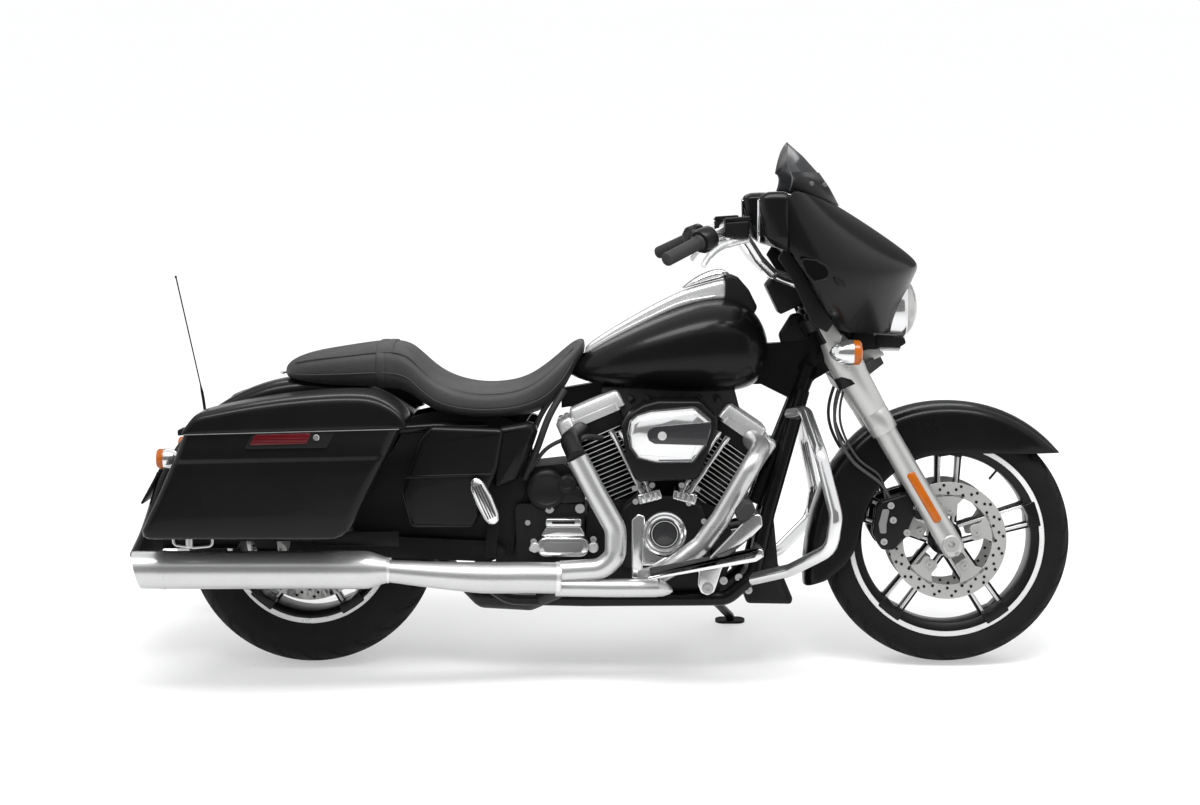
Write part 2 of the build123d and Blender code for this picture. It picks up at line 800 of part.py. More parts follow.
def barrel(tilt):
    """A finned cylinder standing on its mouth."""
    with BuildPart() as pot:
        with BuildSketch(bore_plane(tilt).offset(DECK)):
            Circle(BARREL_RADIUS)
        extrude(amount=FINS_LONG + 6)
        for number in range(FIN_COUNT):
            with BuildSketch(bore_plane(tilt).offset(DECK + 4 + number * FIN_PITCH)):
                Circle(FIN_RADIUS)
            extrude(amount=FIN_THICK)
    return pot.part


cylinders = merged(barrel(REAR_TILT), barrel(FRONT_TILT))
HEAD_LOW = DECK + FINS_LONG + 6
HEAD_HIGH = HEAD_LOW + 34
COVER_TOP = HEAD_HIGH + 52


def head_block(tilt, low, high, long, wide, corner):
    """A rounded block across a cylinder's axis, between two heights up it."""
    with BuildPart() as block:
        with BuildSketch(bore_plane(tilt).offset(low)):
            RectangleRounded(long, wide, corner)
        extrude(amount=high - low)
    return block.part


cylinder_heads = merged(
    head_block(REAR_TILT, HEAD_LOW, HEAD_HIGH, 160, 150, 16),
    head_block(FRONT_TILT, HEAD_LOW, HEAD_HIGH, 160, 150, 16),
)
rocker_covers = merged(
    head_block(REAR_TILT, HEAD_HIGH, COVER_TOP, 168, 156, 20),
    head_block(FRONT_TILT, HEAD_HIGH, COVER_TOP, 150, 156, 20),
)
rocker_covers = less(rocker_covers, backbone)
cylinder_heads = less(cylinder_heads, backbone)

CAM_OUT = 176.0
cam_side = [(788, 268), (786, 410), (830, 448), (965, 448), (1000, 410), (1012, 330), (950, 262), (850, 250)]
cam_cover = slab(cam_side, CASE_HALF, CAM_OUT, 14)
TIMER = (900.0, 361.0)
TIMER_RADIUS = 49.0
with BuildPart() as timer_block:
    with BuildSketch(Plane((TIMER[0], -CAM_OUT, TIMER[1]), z_dir=(0, -1, 0))):
        Circle(TIMER_RADIUS)
    extrude(amount=22)
timer_cover = timer_block.part


PUSHROD_OUT = 132.0
pushrods = [
    rod((838, -PUSHROD_OUT, 448), (752, -PUSHROD_OUT, 612), 7.5),
    rod((858, -PUSHROD_OUT, 448), (776, -PUSHROD_OUT, 606), 7.5),
    rod((948, -PUSHROD_OUT, 448), (1052, -PUSHROD_OUT, 598), 7.5),
    rod((968, -PUSHROD_OUT, 448), (1074, -PUSHROD_OUT, 584), 7.5),
]
tappets = [
    slab([(812, 449), (806, 470), (872, 484), (880, 449)], 112, 152),
    slab([(926, 449), (932, 482), (996, 466), (990, 449)], 112, 152),
]
pushrod_tubes = less(merged(*pushrods, *tappets), crankcase, cylinder_heads, rocker_covers, cam_cover)

AIR_NEAR = 205.0
AIR_FAR = 246.0
air_side = [
    (804, 563),
    (804, 610),
    (850, 650),
    (909, 665),
    (985, 670),
    (1020, 634),
    (1018, 578),
    (981, 530),
    (862, 530),
    (817, 541),
]
air_cleaner_cover = slab(air_side, AIR_NEAR, AIR_FAR, 8)
air_back_side = [
    (798, 580),
    (806, 640),
    (870, 684),
    (1000, 688),
    (1036, 640),
    (1026, 560),
    (985, 505),
    (840, 505),
]
air_cleaner_body = less(
    slab(air_back_side, 150, AIR_NEAR, 10), rocker_covers, cylinder_heads, pushrod_tubes
)
intake = merged(
    slab([(868, 545), (868, 630), (940, 626), (940, 541)], 0, 150),
    slab([(780, 598), (780, 642), (1040, 622), (1040, 580)], -28, 28),
)
air_cleaner_body = less(merged(air_cleaner_body, intake), cylinders, rocker_covers, cylinder_heads, crankcase)

arm_side = [
    (-44, TYRE_RADIUS - 22),
    (-44, TYRE_RADIUS + 22),
    (40, TYRE_RADIUS + 26),
    (PIVOT_X - 20, PIVOT_Z + 26),
    (PIVOT_X + 18, PIVOT_Z + 12),
    (PIVOT_X + 18, PIVOT_Z - 12),
    (PIVOT_X - 20, PIVOT_Z - 26),
    (60, TYRE_RADIUS - 30),
]
with BuildPart() as swingarm_block:
    add(slab(arm_side, ARM_INNER, ARM_INNER + 26))
    mirror(about=Plane.XZ)
    add(slab([(350, 284), (350, 318), (400, 318), (400, 284)], -ARM_INNER, ARM_INNER))
    add(rod((PIVOT_X, -ARM_INNER - 34, PIVOT_Z), (PIVOT_X, ARM_INNER + 34, PIVOT_Z), 16))
    add(rod((0, -ARM_INNER - 34, TYRE_RADIUS), (0, ARM_INNER + 34, TYRE_RADIUS), AXLE_RADIUS))
belt_room = slab([(340, 190), (340, 420), (410, 420), (410, 190)], -BELT_Y - BELT_WIDTH, -BELT_Y + BELT_WIDTH)
swingarm = less(swingarm_block.part, belt_room)

GEAR_HALF = 108.0
gear_side = [
    (560, 205),
    (474, 262),
    (474, 338),
    (512, 420),
    (560, 510),
    (650, 520),
    (700, 470),
    (700, 240),
    (690, 205),
]
gearbox = less(slab(gear_side, -GEAR_HALF, GEAR_HALF, 16), crankcase, cradle, backbone, drive_belt, swingarm)
gear_cover_side = [
    (588, 372),
    (576, 340),
    (580, 302),
    (668, 302),
    (672, 340),
    (660, 372),
    (652, 396),
    (596, 396),
]
gear_cover = slab(gear_cover_side, GEAR_HALF + 24, GEAR_HALF + 62, 6)
gear_cap_side = [(530, 240), (524, 420), (700, 420), (696, 330), (700, 240)]
gear_cap = less(slab(gear_cap_side, GEAR_HALF, GEAR_HALF + 24, 14), cradle, crankcase, swingarm)
gearbox = merged(gearbox, gear_cap)

PRIMARY_FRONT = 96.0
PRIMARY_NEAR = 128.0
PRIMARY_FAR = 205.0
with BuildPart() as primary_block:
    with BuildSketch(Plane((0, PRIMARY_NEAR, 0), x_dir=(1, 0, 0), z_dir=(0, -1, 0))):
        with Locations((905, 262)):
            Circle(PRIMARY_FRONT)
        with Locations((610, 292)):
            Circle(128)
        make_hull()
    extrude(amount=PRIMARY_NEAR - PRIMARY_FAR)
primary_cover = primary_block.part
primary_inner = less(
    slab([(560, 210), (560, 380), (960, 350), (980, 200)], -PRIMARY_NEAR, -CASE_HALF + 0.0),
    cradle,
    crankcase,
    gearbox,
    drive_belt,
    rod((DRIVE_X, 100, DRIVE_Z), (DRIVE_X, 140, DRIVE_Z), DRIVE_PULLEY_RADIUS + 12),
)
primary_cover = less(merged(primary_cover, primary_inner), cradle, drive_belt, swingarm)

# ---- exhaust ---------------------------------------------------------------------------
PIPE_OUT = 238.0
rear_header_route = [
    (690, -70, 605),
    (655, -170, 590),
    (684, -PIPE_OUT, 548),
    (731, -PIPE_OUT, 453),
    (792, -PIPE_OUT, 345),
    (748, -PIPE_OUT, 262),
    (628, -PIPE_OUT, 260),
]
front_header_route = [
    (1120, -70, 580),
    (1150, -160, 575),
    (1118, -212, 528),
    (1047, -212, 400),
    (940, -214, 262),
    (850, -PIPE_OUT + 8, 221),
    (628, -PIPE_OUT, 223),
]
rear_header = tube(rear_header_route, PIPE_RADIUS, [30, 40, 60, 60, 50])
front_header = tube(front_header_route, PIPE_RADIUS - 3, [30, 36, 60, 60, 60])
MID_RADIUS = 39.0
MID_Z = 250.0
with BuildPart() as mid_pipe:
    with BuildSketch(Plane(origin=(640, -PIPE_OUT, MID_Z - 5), z_dir=(-1, -0.16, 0.02))):
        Circle(MID_RADIUS)
    with BuildSketch(Plane(origin=(430, -PIPE_OUT - 36, MID_Z + 4), z_dir=(-1, -0.16, 0.06))):
        Circle(MID_RADIUS - 1)
    loft()
    with BuildSketch(Plane(origin=(430, -PIPE_OUT - 36, MID_Z + 4), z_dir=(-1, -0.16, 0.06))):
        Circle(MID_RADIUS - 1)
    with BuildSketch(Plane(origin=(200, -MUFFLER_OUT + 4, 274), z_dir=(-1, -0.1, 0.02))):
        Circle(PIPE_RADIUS)
    loft()
exhaust_pipes = less(
    merged(rear_header, front_header, mid_pipe.part),
    cylinders,
    cylinder_heads,
    rocker_covers,
    cam_cover,
    gear_cap,
    gear_cover,
    cradle,
    crankcase,
    pushrod_tubes,
)
MUFFLER_Z = 277.0
MUFFLER_TIP = -415.0


def muffler(side):
    """A silencer: flared mouth, long body and a slash-cut tip; side is -1 right, 1 left."""
    out = side * MUFFLER_OUT
    with BuildPart() as can:
        with BuildSketch(Plane(origin=(214, out, MUFFLER_Z), z_dir=(-1, 0, 0))):
            Circle(PIPE_RADIUS + 5)
        with BuildSketch(Plane(origin=(168, out, MUFFLER_Z), z_dir=(-1, 0, 0))):
            Circle(MUFFLER_RADIUS)
        loft()
        with BuildSketch(Plane(origin=(168, out, MUFFLER_Z), z_dir=(-1, 0, 0))):
            Circle(MUFFLER_RADIUS)
        extrude(amount=168 - MUFFLER_TIP)
        with BuildSketch(Plane(origin=(MUFFLER_TIP, out, MUFFLER_Z), z_dir=(1, 0, 0))):
            Circle(MUFFLER_RADIUS - 4)
        extrude(amount=90, mode=Mode.SUBTRACT)
        with BuildSketch(Plane.XZ.offset(-out - MUFFLER_RADIUS - 5)):
            with BuildLine():
                Polyline(
                    (MUFFLER_TIP, MUFFLER_Z + 48),
                    (MUFFLER_TIP + 26, MUFFLER_Z - 48),
                    (MUFFLER_TIP - 20, MUFFLER_Z - 48),
                    (MUFFLER_TIP - 20, MUFFLER_Z + 48),
                    close=True,
                )
            make_face()
        extrude(amount=2 * MUFFLER_RADIUS + 10, mode=Mode.SUBTRACT)
    return can.part


muffler_right = less(muffler(-1), exhaust_pipes)
crossover_route = [
    (640, -PIPE_OUT + 30, 215),
    (560, -60, 160),
    (430, 120, 140),
    (300, 300, 240),
    (190, MUFFLER_OUT, MUFFLER_Z),
]
left_pipe = tube(crossover_route, PIPE_RADIUS - 5, [60, 60, 60])
crossover_pipe = less(left_pipe, exhaust_pipes, cradle, gear_cap, gearbox)
muffler_left = less(muffler(1), crossover_pipe)

# ---- tank, seat and rear bodywork --------------------------------------------------------
tank_sections = [
    (664, 40, 738, 772, 14),
    (770, 104, 712, 836, 40),
    (900, 150, 697, 900, 70),
    (1030, TANK_HALF, 694, 938, 80),
    (1120, 146, 716, 914, 70),
    (1166, 92, 772, 846, 30),
]
tunnel = slab(
    [(600, 600), (600, 760), (1010, 800), (1190, 850), (1190, 600)], -BACKBONE_HALF - 4, BACKBONE_HALF + 4
)
fuel_tank = less(rounded_loft(tank_sections), tunnel, rocker_covers)
console_side = [
    (700, 780),
    (704, 815),
    (767, 856),
    (861, 912),
    (946, 956),
    (1075, 990),
    (1105, 966),
    (1140, 912),
    (1130, 880),
    (960, 880),
    (840, 820),
]
CONSOLE_HALF = 44.0
console_body = slab(console_side, -CONSOLE_HALF, CONSOLE_HALF)
door_side = [(948, 962), (988, 998), (1030, 1012), (1058, 1014), (1072, 996), (1060, 960)]
DOOR_HALF = 40.0
fuel_door = slab(door_side, -DOOR_HALF, DOOR_HALF)
tank_console = less(console_body, fuel_tank)
door_bed = slab([(930, 900), (930, 952.3), (1090, 994.5), (1090, 900)], -60, 60)
fuel_door = less(fuel_door, door_bed)
DOOR_PIVOT = (1071.0, 0.0, 995.0)
DOOR_PIN = 4.0
pin_start = (DOOR_PIVOT[0], -DOOR_HALF, DOOR_PIVOT[2])
pin_end = (DOOR_PIVOT[0], DOOR_HALF, DOOR_PIVOT[2])
door_pin = rod(pin_start, pin_end, DOOR_PIN)
fuel_door = merged(fuel_door, door_pin)

CROWN_CLEAR = 100.0
CROWN = TYRE_RADIUS + CROWN_CLEAR
fascia_side = sector(CROWN_CLEAR, 50, 142) + [
    (-392, 500),
    (-440, 400),
    (-466, 325),
    (-466, 284),
    (-420, 284),
    (-372, 420),
]
fascia_side += sector(CROWN_CLEAR - 60, 150, 50)
rear_fender = less(
    slab(fascia_side, -FENDER_OUT, FENDER_OUT),
    Cylinder(CROWN - 8, 2 * (FENDER_OUT - 5), rotation=(90, 0, 0)).moved(Location((0, 0, TYRE_RADIUS))),
    cradle,
    rear_subframe,
)
seat_side = [
    (-60, 768),
    (-16, 794),
    (98, 816),
    (188, 829),
    (255, 822),
    (293, 788),
    (330, 750),
    (390, 724),
    (473, 717),
    (548, 732),
    (636, 795),
    (682, 834),
    (700, 828),
    (702, 806),
    (663, 768),
    (646, 715),
    (626, 678),
    (588, 644),
    (441, 631),
    (331, 643),
    (228, 707),
    (117, 711),
    (-8, 715),
    (-45, 736),
]
seat_plan = [
    (-70, -80),
    (-40, -130),
    (60, -158),
    (200, -165),
    (300, -178),
    (420, -SEAT_HALF),
    (520, -176),
    (620, -110),
    (710, -70),
    (710, 70),
    (620, 110),
    (520, 176),
    (420, SEAT_HALF),
    (300, 178),
    (200, 165),
    (60, 158),
    (-40, 130),
    (-70, 80),
]
tank_room = [(x, half + 1, low - 1, high + 1, corner) for x, half, low, high, corner in tank_sections]
clear_tank = rounded_loft(tank_room)
fender_room = Cylinder(CROWN + SEATING, 2 * (FENDER_OUT + SEATING), rotation=(90, 0, 0))
seat = less(
    common(slab(seat_side, -200, 200), column(seat_plan, 600, 860)),
    fender_room.moved(Location((0, 0, TYRE_RADIUS))),
    clear_tank,
    slab([(x, z + 0.5) for x, z in backbone_side], -BACKBONE_HALF - 1, BACKBONE_HALF + 1),
    both_sides(tube(cradle_route, FRAME_TUBE + 1, CRADLE_BENDS)),
    both_sides(tube(rear_rail_route, 13, [60, 60])),
    slab([(680, 700), (680, 900), (760, 900), (760, 700)], -CONSOLE_HALF - 1, CONSOLE_HALF + 1),
    rod((560, -71, 670), (560, 71, 670), 15),
    rod((560, 0, 670), (650, 0, 690), 15),
)

bag_side = [(-331, 469), (-367, 392), (-352, 368), (104, 367), (132, 385), (258, 638), (-269, 624)]
bag_solid = slab(bag_side, BAG_INNER, BAG_OUTER)
bag_hollow = inset_slab(
    [(-331, 469), (-367, 392), (-352, 368), (104, 367), (132, 385), (320, 762), (-217, 748)],
    BAG_WALL,
    BAG_INNER + BAG_WALL,
    BAG_OUTER - BAG_WALL,
)
saddlebag_right = less(bag_solid, bag_hollow)
saddlebag_left = saddlebag_right.mirror(Plane.XZ)
lid_side = [
    (-269, 624.5),
    (-240, 669),
    (-191, 687),
    (-7, 719),
    (170, 726),
    (207, 717),
    (258, 684),
    (276, 655),
    (262, 638.5),
]
lid_hollow_side = [
    (-262, 600),
    (-262, 629),
    (-235, 664),
    (-188, 680),
    (-7, 712),
    (170, 719),
    (203, 711),
    (253, 680),
    (268, 655),
    (256, 620),
]
LID_OUT = BAG_OUTER + 3
bag_lid_right = less(
    slab(lid_side, BAG_INNER, LID_OUT),
    slab(lid_hollow_side, BAG_INNER + BAG_WALL, LID_OUT - BAG_WALL),
)
HINGE_RADIUS = 3.0
HINGE_OUT = LID_OUT + HINGE_RADIUS - 0.6
HINGE_Z = 631.6
HINGE_SLOPE = (638.5 - 624.5) / (262 + 269)  # the seam climbs forward


def on_hinge(x):
    """A point of the right lid's hinge line."""
    return (x, -HINGE_OUT, HINGE_Z + x * HINGE_SLOPE)


knuckles = [rod(on_hinge(x - 30), on_hinge(x + 30), HINGE_RADIUS) for x in (-170, 150)]
bag_lid_right = merged(bag_lid_right, *knuckles)
bag_lid_left = bag_lid_right.mirror(Plane.XZ)

cover_side = [(318, 642), (504, 612), (479, 514), (417, 370), (244, 385), (232, 464), (246, 636)]
side_covers = less(both_sides(slab(cover_side, 196, 214, 10)), rear_subframe, seat)
cover_posts = both_sides(rod((330, -168, 618), (330, -200, 618), 7))
side_covers = less(merged(side_covers, cover_posts), cradle, rear_subframe)

SIGNAL_REAR_OUT = 178.0
lamp_bar = rod((-338, -SIGNAL_REAR_OUT, 541), (-338, SIGNAL_REAR_OUT, 541), 8)
with BuildPart() as lamp_shell:
    with BuildSketch(Plane(origin=(-371, -SIGNAL_REAR_OUT, 541), z_dir=(1, 0, 0))):
        Circle(27)
    extrude(amount=34)
    with BuildSketch(Plane(origin=(-337, -SIGNAL_REAR_OUT, 541), z_dir=(1, 0, 0))):
        Circle(27)
    with BuildSketch(Plane(origin=(-322, -SIGNAL_REAR_OUT, 541), z_dir=(1, 0, 0))):
        Circle(14)
    loft()
rear_lamps = less(merged(both_sides(lamp_shell.part), lamp_bar), rear_fender, saddlebag_right, saddlebag_left)
plate_side = [(-392, 500), (-440, 400), (-444, 402), (-398, 501)]
plate_bracket = less(slab(plate_side, -92, 92), rear_fender)
antenna = tube(
    [(-262, 200, 600), (-296, 200, 620), (-345, 200, 985)],
    3.0,
    [12],
)
antenna = less(merged(antenna, rod((-262, FENDER_OUT - 4, 600), (-262, 206, 600), 8)), rear_fender)

# ---- feet, guards and stand --------------------------------------------------------------
board_side = [(858, 256), (856, 268), (1116, 318), (1126, 334), (1136, 330), (1140, 314), (1124, 304)]
BOARD_NEAR = 250.0
BOARD_FAR = 352.0
board = slab(board_side, BOARD_NEAR, BOARD_FAR)
board_arm = slab([(1034, 196), (1034, 262), (1060, 302), (1078, 296), (1066, 196)], 108, BOARD_NEAR + 30)
footboards = less(both_sides(merged(board, board_arm)), crankcase, cradle, cam_cover, exhaust_pipes, gear_cap)
pedal_arm = slab([(1018, 296), (1012, 306), (1092, 388), (1128, 396), (1136, 378), (1072, 318)], 292, 308)
pedal_pad = slab([(1090, 380), (1100, 410), (1122, 420), (1134, 396), (1130, 378)], 268, 330)
pedal_pivot = rod((1024, -150, 300), (1024, -310, 300), 9)
brake_pedal = less(merged(pedal_arm, pedal_pad, pedal_pivot), footboards, crankcase, cradle)
shift_lever = brake_pedal.mirror(Plane.XZ)
foot_levers = less(
    merged(brake_pedal, shift_lever), footboards, cradle, crankcase, primary_cover, exhaust_pipes
)
peg = slab([(468, 381), (428, 486), (419, 492), (436, 500), (450, 498), (494, 410), (490, 396)], 244, 268, 4)
peg_bracket_side = [(452, 288), (450, 330), (462, 394), (486, 394), (478, 330), (476, 288)]
peg_bracket = slab(peg_bracket_side, ARM_INNER + 34, ARM_INNER + 46)
peg_arm = rod((472, -ARM_INNER - 36, 380), (474, -262, 396), 12)
passenger_pegs = less(
    both_sides(merged(peg, peg_arm, peg_bracket)),
    side_covers,
    cradle,
    gear_cap,
    exhaust_pipes,
    primary_cover,
)

guard_route = [
    (1225, -40, 640),
    (1258, -120, 652),
    (1283, -290, 560),
    (1318, -345, 410),
    (1306, -335, 330),
    (1215, -210, 262),
    (1120, -RAIL_HALF, 225),
]
guard_half = tube(guard_route, GUARD_RADIUS, [40, 60, 60, 50, 50])
engine_guard = less(both_sides(guard_half), cradle, backbone, crankcase)
cooler_side = [
    (1110, 160),
    (1096, 205),
    (1126, 262),
    (1146, 384),
    (1178, 384),
    (1188, 262),
    (1226, 164),
    (1220, 158),
]
oil_cooler = less(slab(cooler_side, -92, 92), cradle, engine_guard, crankcase)
horn_bracket = slab([(866, 530), (866, 560), (906, 560), (906, 530)], -140, 0)
horn_shell = slab([(820, 470), (820, 600), (930, 600), (930, 470)], -190, -130, 12)
horn = less(merged(horn_shell, horn_bracket), cylinders, cylinder_heads, pushrod_tubes, air_cleaner_body)

rear_shock = merged(
    rod((62, -ARM_INNER - 18, 340), (100, -ARM_INNER - 34, 440), 14),
    rod((100, -ARM_INNER - 34, 440), (150, -172, 580), 25),
)
rear_shocks = less(
    both_sides(rear_shock), swingarm, rear_subframe, rear_fender, saddlebag_right, saddlebag_left
)
CALIPER_LOW = TYRE_RADIUS + DISC_BOLTS + 34.0  # clears the bolted lobes as they turn
caliper_side = [
    (-62, CALIPER_LOW),
    (-40, CALIPER_LOW + 46),
    (40, CALIPER_LOW + 52),
    (62, CALIPER_LOW + 18),
    (34, CALIPER_LOW),
]
rear_caliper = less(
    slab(caliper_side, REAR_DISC_OUT - 12, ARM_INNER + 4),
    disc_room(0, REAR_DISC_OUT),
)
arm_top = TYRE_RADIUS + 16
caliper_arm_side = [(-20, arm_top), (-20, CALIPER_LOW + 20), (20, CALIPER_LOW + 20), (20, arm_top)]
caliper_arm = slab(caliper_arm_side, ARM_INNER, ARM_INNER + 12)
rear_caliper = less(merged(rear_caliper, caliper_arm), swingarm, rear_fender)

# The side stand leans forward and out; its foot lies flat on the ground of the leaned bike.
STAND_PIVOT = (1010.0, RAIL_HALF + 35.0, 162.0)
STAND_FOOT = (1090.0, 335.0)
STAND_AXIS = (-0.0568, 0.5479, 0.8346)  # square to the leg, out and folded back
CROWN_DROP = REAR_CROWN * (1 - cos(radians(LEAN)))


def ground(y):
    """The height of the ground beside the upright bike, which leans to its left."""
    return y * tan(radians(LEAN)) - CROWN_DROP / cos(radians(LEAN))


def on_pivot(along):
    """A point on the stand's pivot."""
    return tuple(Vector(*STAND_PIVOT) + Vector(*STAND_AXIS) * along)


foot_low = (STAND_FOOT[0], STAND_FOOT[1], ground(STAND_FOOT[1]))
foot_up = Vector(0, -sin(radians(LEAN)), cos(radians(LEAN)))
foot_top = tuple(Vector(*foot_low) + foot_up * 16)
with BuildPart() as foot_block:
    with BuildSketch(Plane(origin=foot_low, x_dir=(1, 0, 0), z_dir=foot_up)):
        SlotOverall(80, 46)
    extrude(amount=7)
side_stand = merged(
    rod(STAND_PIVOT, foot_top, STAND_RADIUS),
    rod(foot_top, tuple(Vector(*foot_low) + foot_up * 5), STAND_RADIUS),
    rod(on_pivot(-12), on_pivot(12), 14),
    foot_block.part,
)
with BuildPart() as stand_lug:
    with BuildSketch(Plane(origin=on_pivot(12.3), x_dir=(1, 0, 0), z_dir=STAND_AXIS)):
        with Locations((0, -18)):
            RectangleRounded(36, 66, 8)
    extrude(amount=10)
cradle = merged(cradle, less(stand_lug.part, crankcase, primary_cover))

# ---- parking and export -------------------------------------------------------------------
pieces = {
    "front_tyre": front_tyre,
    "front_rim": front_rim,
    "front_discs": front_discs,
    "rear_tyre": rear_tyre,
    "rear_rim": rear_rim,
    "rear_disc_and_pulley": merged(rear_disc, rear_pulley),
    "drive_belt": drive_belt,
    "fork_sliders": fork_sliders,
    "fork_covers": fork_covers,
    "triple_clamps": triple_clamps,
    "front_calipers": front_calipers,
    "front_fender": front_fender,
    "fairing_outer": fairing_outer,
    "fairing_inner": fairing_inner,
    "windshield": windshield,
    "headlight": headlight,
    "front_turn_signals": front_turn_signals,
    "handlebar": handlebar,
    "grips": grips,
    "hand_controls": hand_controls,
    "mirrors": mirrors,
    "backbone": backbone,
    "cradle": cradle,
    "rear_subframe": rear_subframe,
    "crankcase": crankcase,
    "cylinders": merged(cylinders, cylinder_heads),
    "rocker_covers": rocker_covers,
    "cam_cover": cam_cover,
    "timer_cover": timer_cover,
    "pushrod_tubes": pushrod_tubes,
    "air_cleaner_cover": air_cleaner_cover,
    "air_cleaner_body": air_cleaner_body,
    "gearbox": gearbox,
    "gear_cover": gear_cover,
    "primary_cover": primary_cover,
    "exhaust_pipes": merged(exhaust_pipes, crossover_pipe),
    "muffler_right": muffler_right,
    "muffler_left": muffler_left,
    "fuel_tank": fuel_tank,
    "tank_console": tank_console,
    "fuel_door": fuel_door,
    "seat": seat,
    "rear_fender": rear_fender,
    "rear_lamps": merged(rear_lamps, plate_bracket),
    "antenna": antenna,
    "saddlebag_right": saddlebag_right,
    "saddlebag_left": saddlebag_left,
    "bag_lid_right": bag_lid_right,
    "bag_lid_left": bag_lid_left,
    "side_covers": side_covers,
    "footboards": footboards,
    "foot_levers": foot_levers,
    "passenger_pegs": passenger_pegs,
    "engine_guard": engine_guard,
    "oil_cooler": oil_cooler,
    "horn": horn,
    "swingarm": swingarm,
    "rear_shocks": rear_shocks,
    "rear_caliper": rear_caliper,
    "side_stand": side_stand,
}
lean_over = Location((0, 0, 0), (-LEAN, 0, 0))
boxes = [piece.moved(lean_over).bounding_box() for piece in pieces.values()]
low = [min(box.min.X for box in boxes), min(box.min.Y for box in boxes)]
high = [max(box.max.X for box in boxes), max(box.max.Y for box in boxes)]
ORIGIN = ((low[0] + high[0]) / 2, (low[1] + high[1]) / 2, -CROWN_DROP)
parked = Location((-ORIGIN[0], -ORIGIN[1], -ORIGIN[2]), (-LEAN, 0, 0))

os.makedirs("parts", exist_ok=True)
for name, piece in pieces.items():
    placed = piece.moved(parked)
    placed.label = name
    export_step(placed, f"parts/{name}.step")
print("origin", ORIGIN, "nodes", len(pieces))
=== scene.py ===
"""Dresses a packed touring cruiser motorcycle: painted bodywork, chrome, engine, wheels, seat and studio."""

from __future__ import annotations

import json
import logging
import math
from collections.abc import Callable, Iterable, Mapping, Sequence
from dataclasses import dataclass, field
from enum import Enum

import bmesh
import bpy
from mathutils import Matrix, Vector

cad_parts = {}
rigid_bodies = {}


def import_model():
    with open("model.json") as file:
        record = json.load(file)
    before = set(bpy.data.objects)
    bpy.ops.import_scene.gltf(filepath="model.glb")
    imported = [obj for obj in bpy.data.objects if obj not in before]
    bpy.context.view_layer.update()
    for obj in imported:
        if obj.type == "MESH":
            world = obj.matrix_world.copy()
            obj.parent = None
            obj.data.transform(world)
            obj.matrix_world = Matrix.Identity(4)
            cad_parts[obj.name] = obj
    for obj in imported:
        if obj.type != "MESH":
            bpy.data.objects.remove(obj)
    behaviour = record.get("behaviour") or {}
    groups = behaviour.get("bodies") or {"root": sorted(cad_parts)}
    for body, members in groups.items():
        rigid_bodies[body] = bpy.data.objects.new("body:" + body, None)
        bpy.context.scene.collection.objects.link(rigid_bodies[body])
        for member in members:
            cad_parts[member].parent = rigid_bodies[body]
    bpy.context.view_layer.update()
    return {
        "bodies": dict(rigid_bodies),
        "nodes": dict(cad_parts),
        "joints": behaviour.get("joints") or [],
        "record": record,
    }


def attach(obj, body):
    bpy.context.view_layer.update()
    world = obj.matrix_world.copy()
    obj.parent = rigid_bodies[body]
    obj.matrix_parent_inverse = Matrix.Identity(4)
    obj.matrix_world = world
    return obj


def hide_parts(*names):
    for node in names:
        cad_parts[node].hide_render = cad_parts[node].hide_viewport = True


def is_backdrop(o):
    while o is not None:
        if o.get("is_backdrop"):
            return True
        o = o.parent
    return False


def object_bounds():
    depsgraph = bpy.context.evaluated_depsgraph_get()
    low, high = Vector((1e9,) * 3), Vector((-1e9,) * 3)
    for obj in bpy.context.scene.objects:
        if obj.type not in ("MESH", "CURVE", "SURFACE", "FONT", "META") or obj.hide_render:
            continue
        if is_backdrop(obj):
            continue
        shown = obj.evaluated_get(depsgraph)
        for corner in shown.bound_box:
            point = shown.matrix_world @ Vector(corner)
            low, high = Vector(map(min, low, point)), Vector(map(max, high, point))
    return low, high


LOG = logging.getLogger("touring_cruiser")

# All sizes of the machine are in millimetres, upright, X forward from the rear axle,
# Y to the rider's left and Z up from the ground. "Out" is the distance to the right.
MM = 0.001
AXLE_HEIGHT = 320.0
WHEELBASE = 1625.0
SHARPEST = 0.05  # tangent of half the sharpest corner that a bend is worked out for
MERGE = 0.00002  # metres within which points become one

Colour = tuple[float, float, float]
Point = tuple[float, float, float]
Flat = tuple[float, float]


class Body(Enum):
    """The bodies that pieces hang on."""

    FRAME = "frame"
    FORK = "fork"
    FRONT_WHEEL = "front_wheel"
    REAR_WHEEL = "rear_wheel"
    LID_RIGHT = "bag_lid_right"
    LID_LEFT = "bag_lid_left"
    FUEL_DOOR = "fuel_door"


class Side(Enum):
    """The right and left of the machine, as the sign of Y."""

    RIGHT = -1
    LEFT = 1


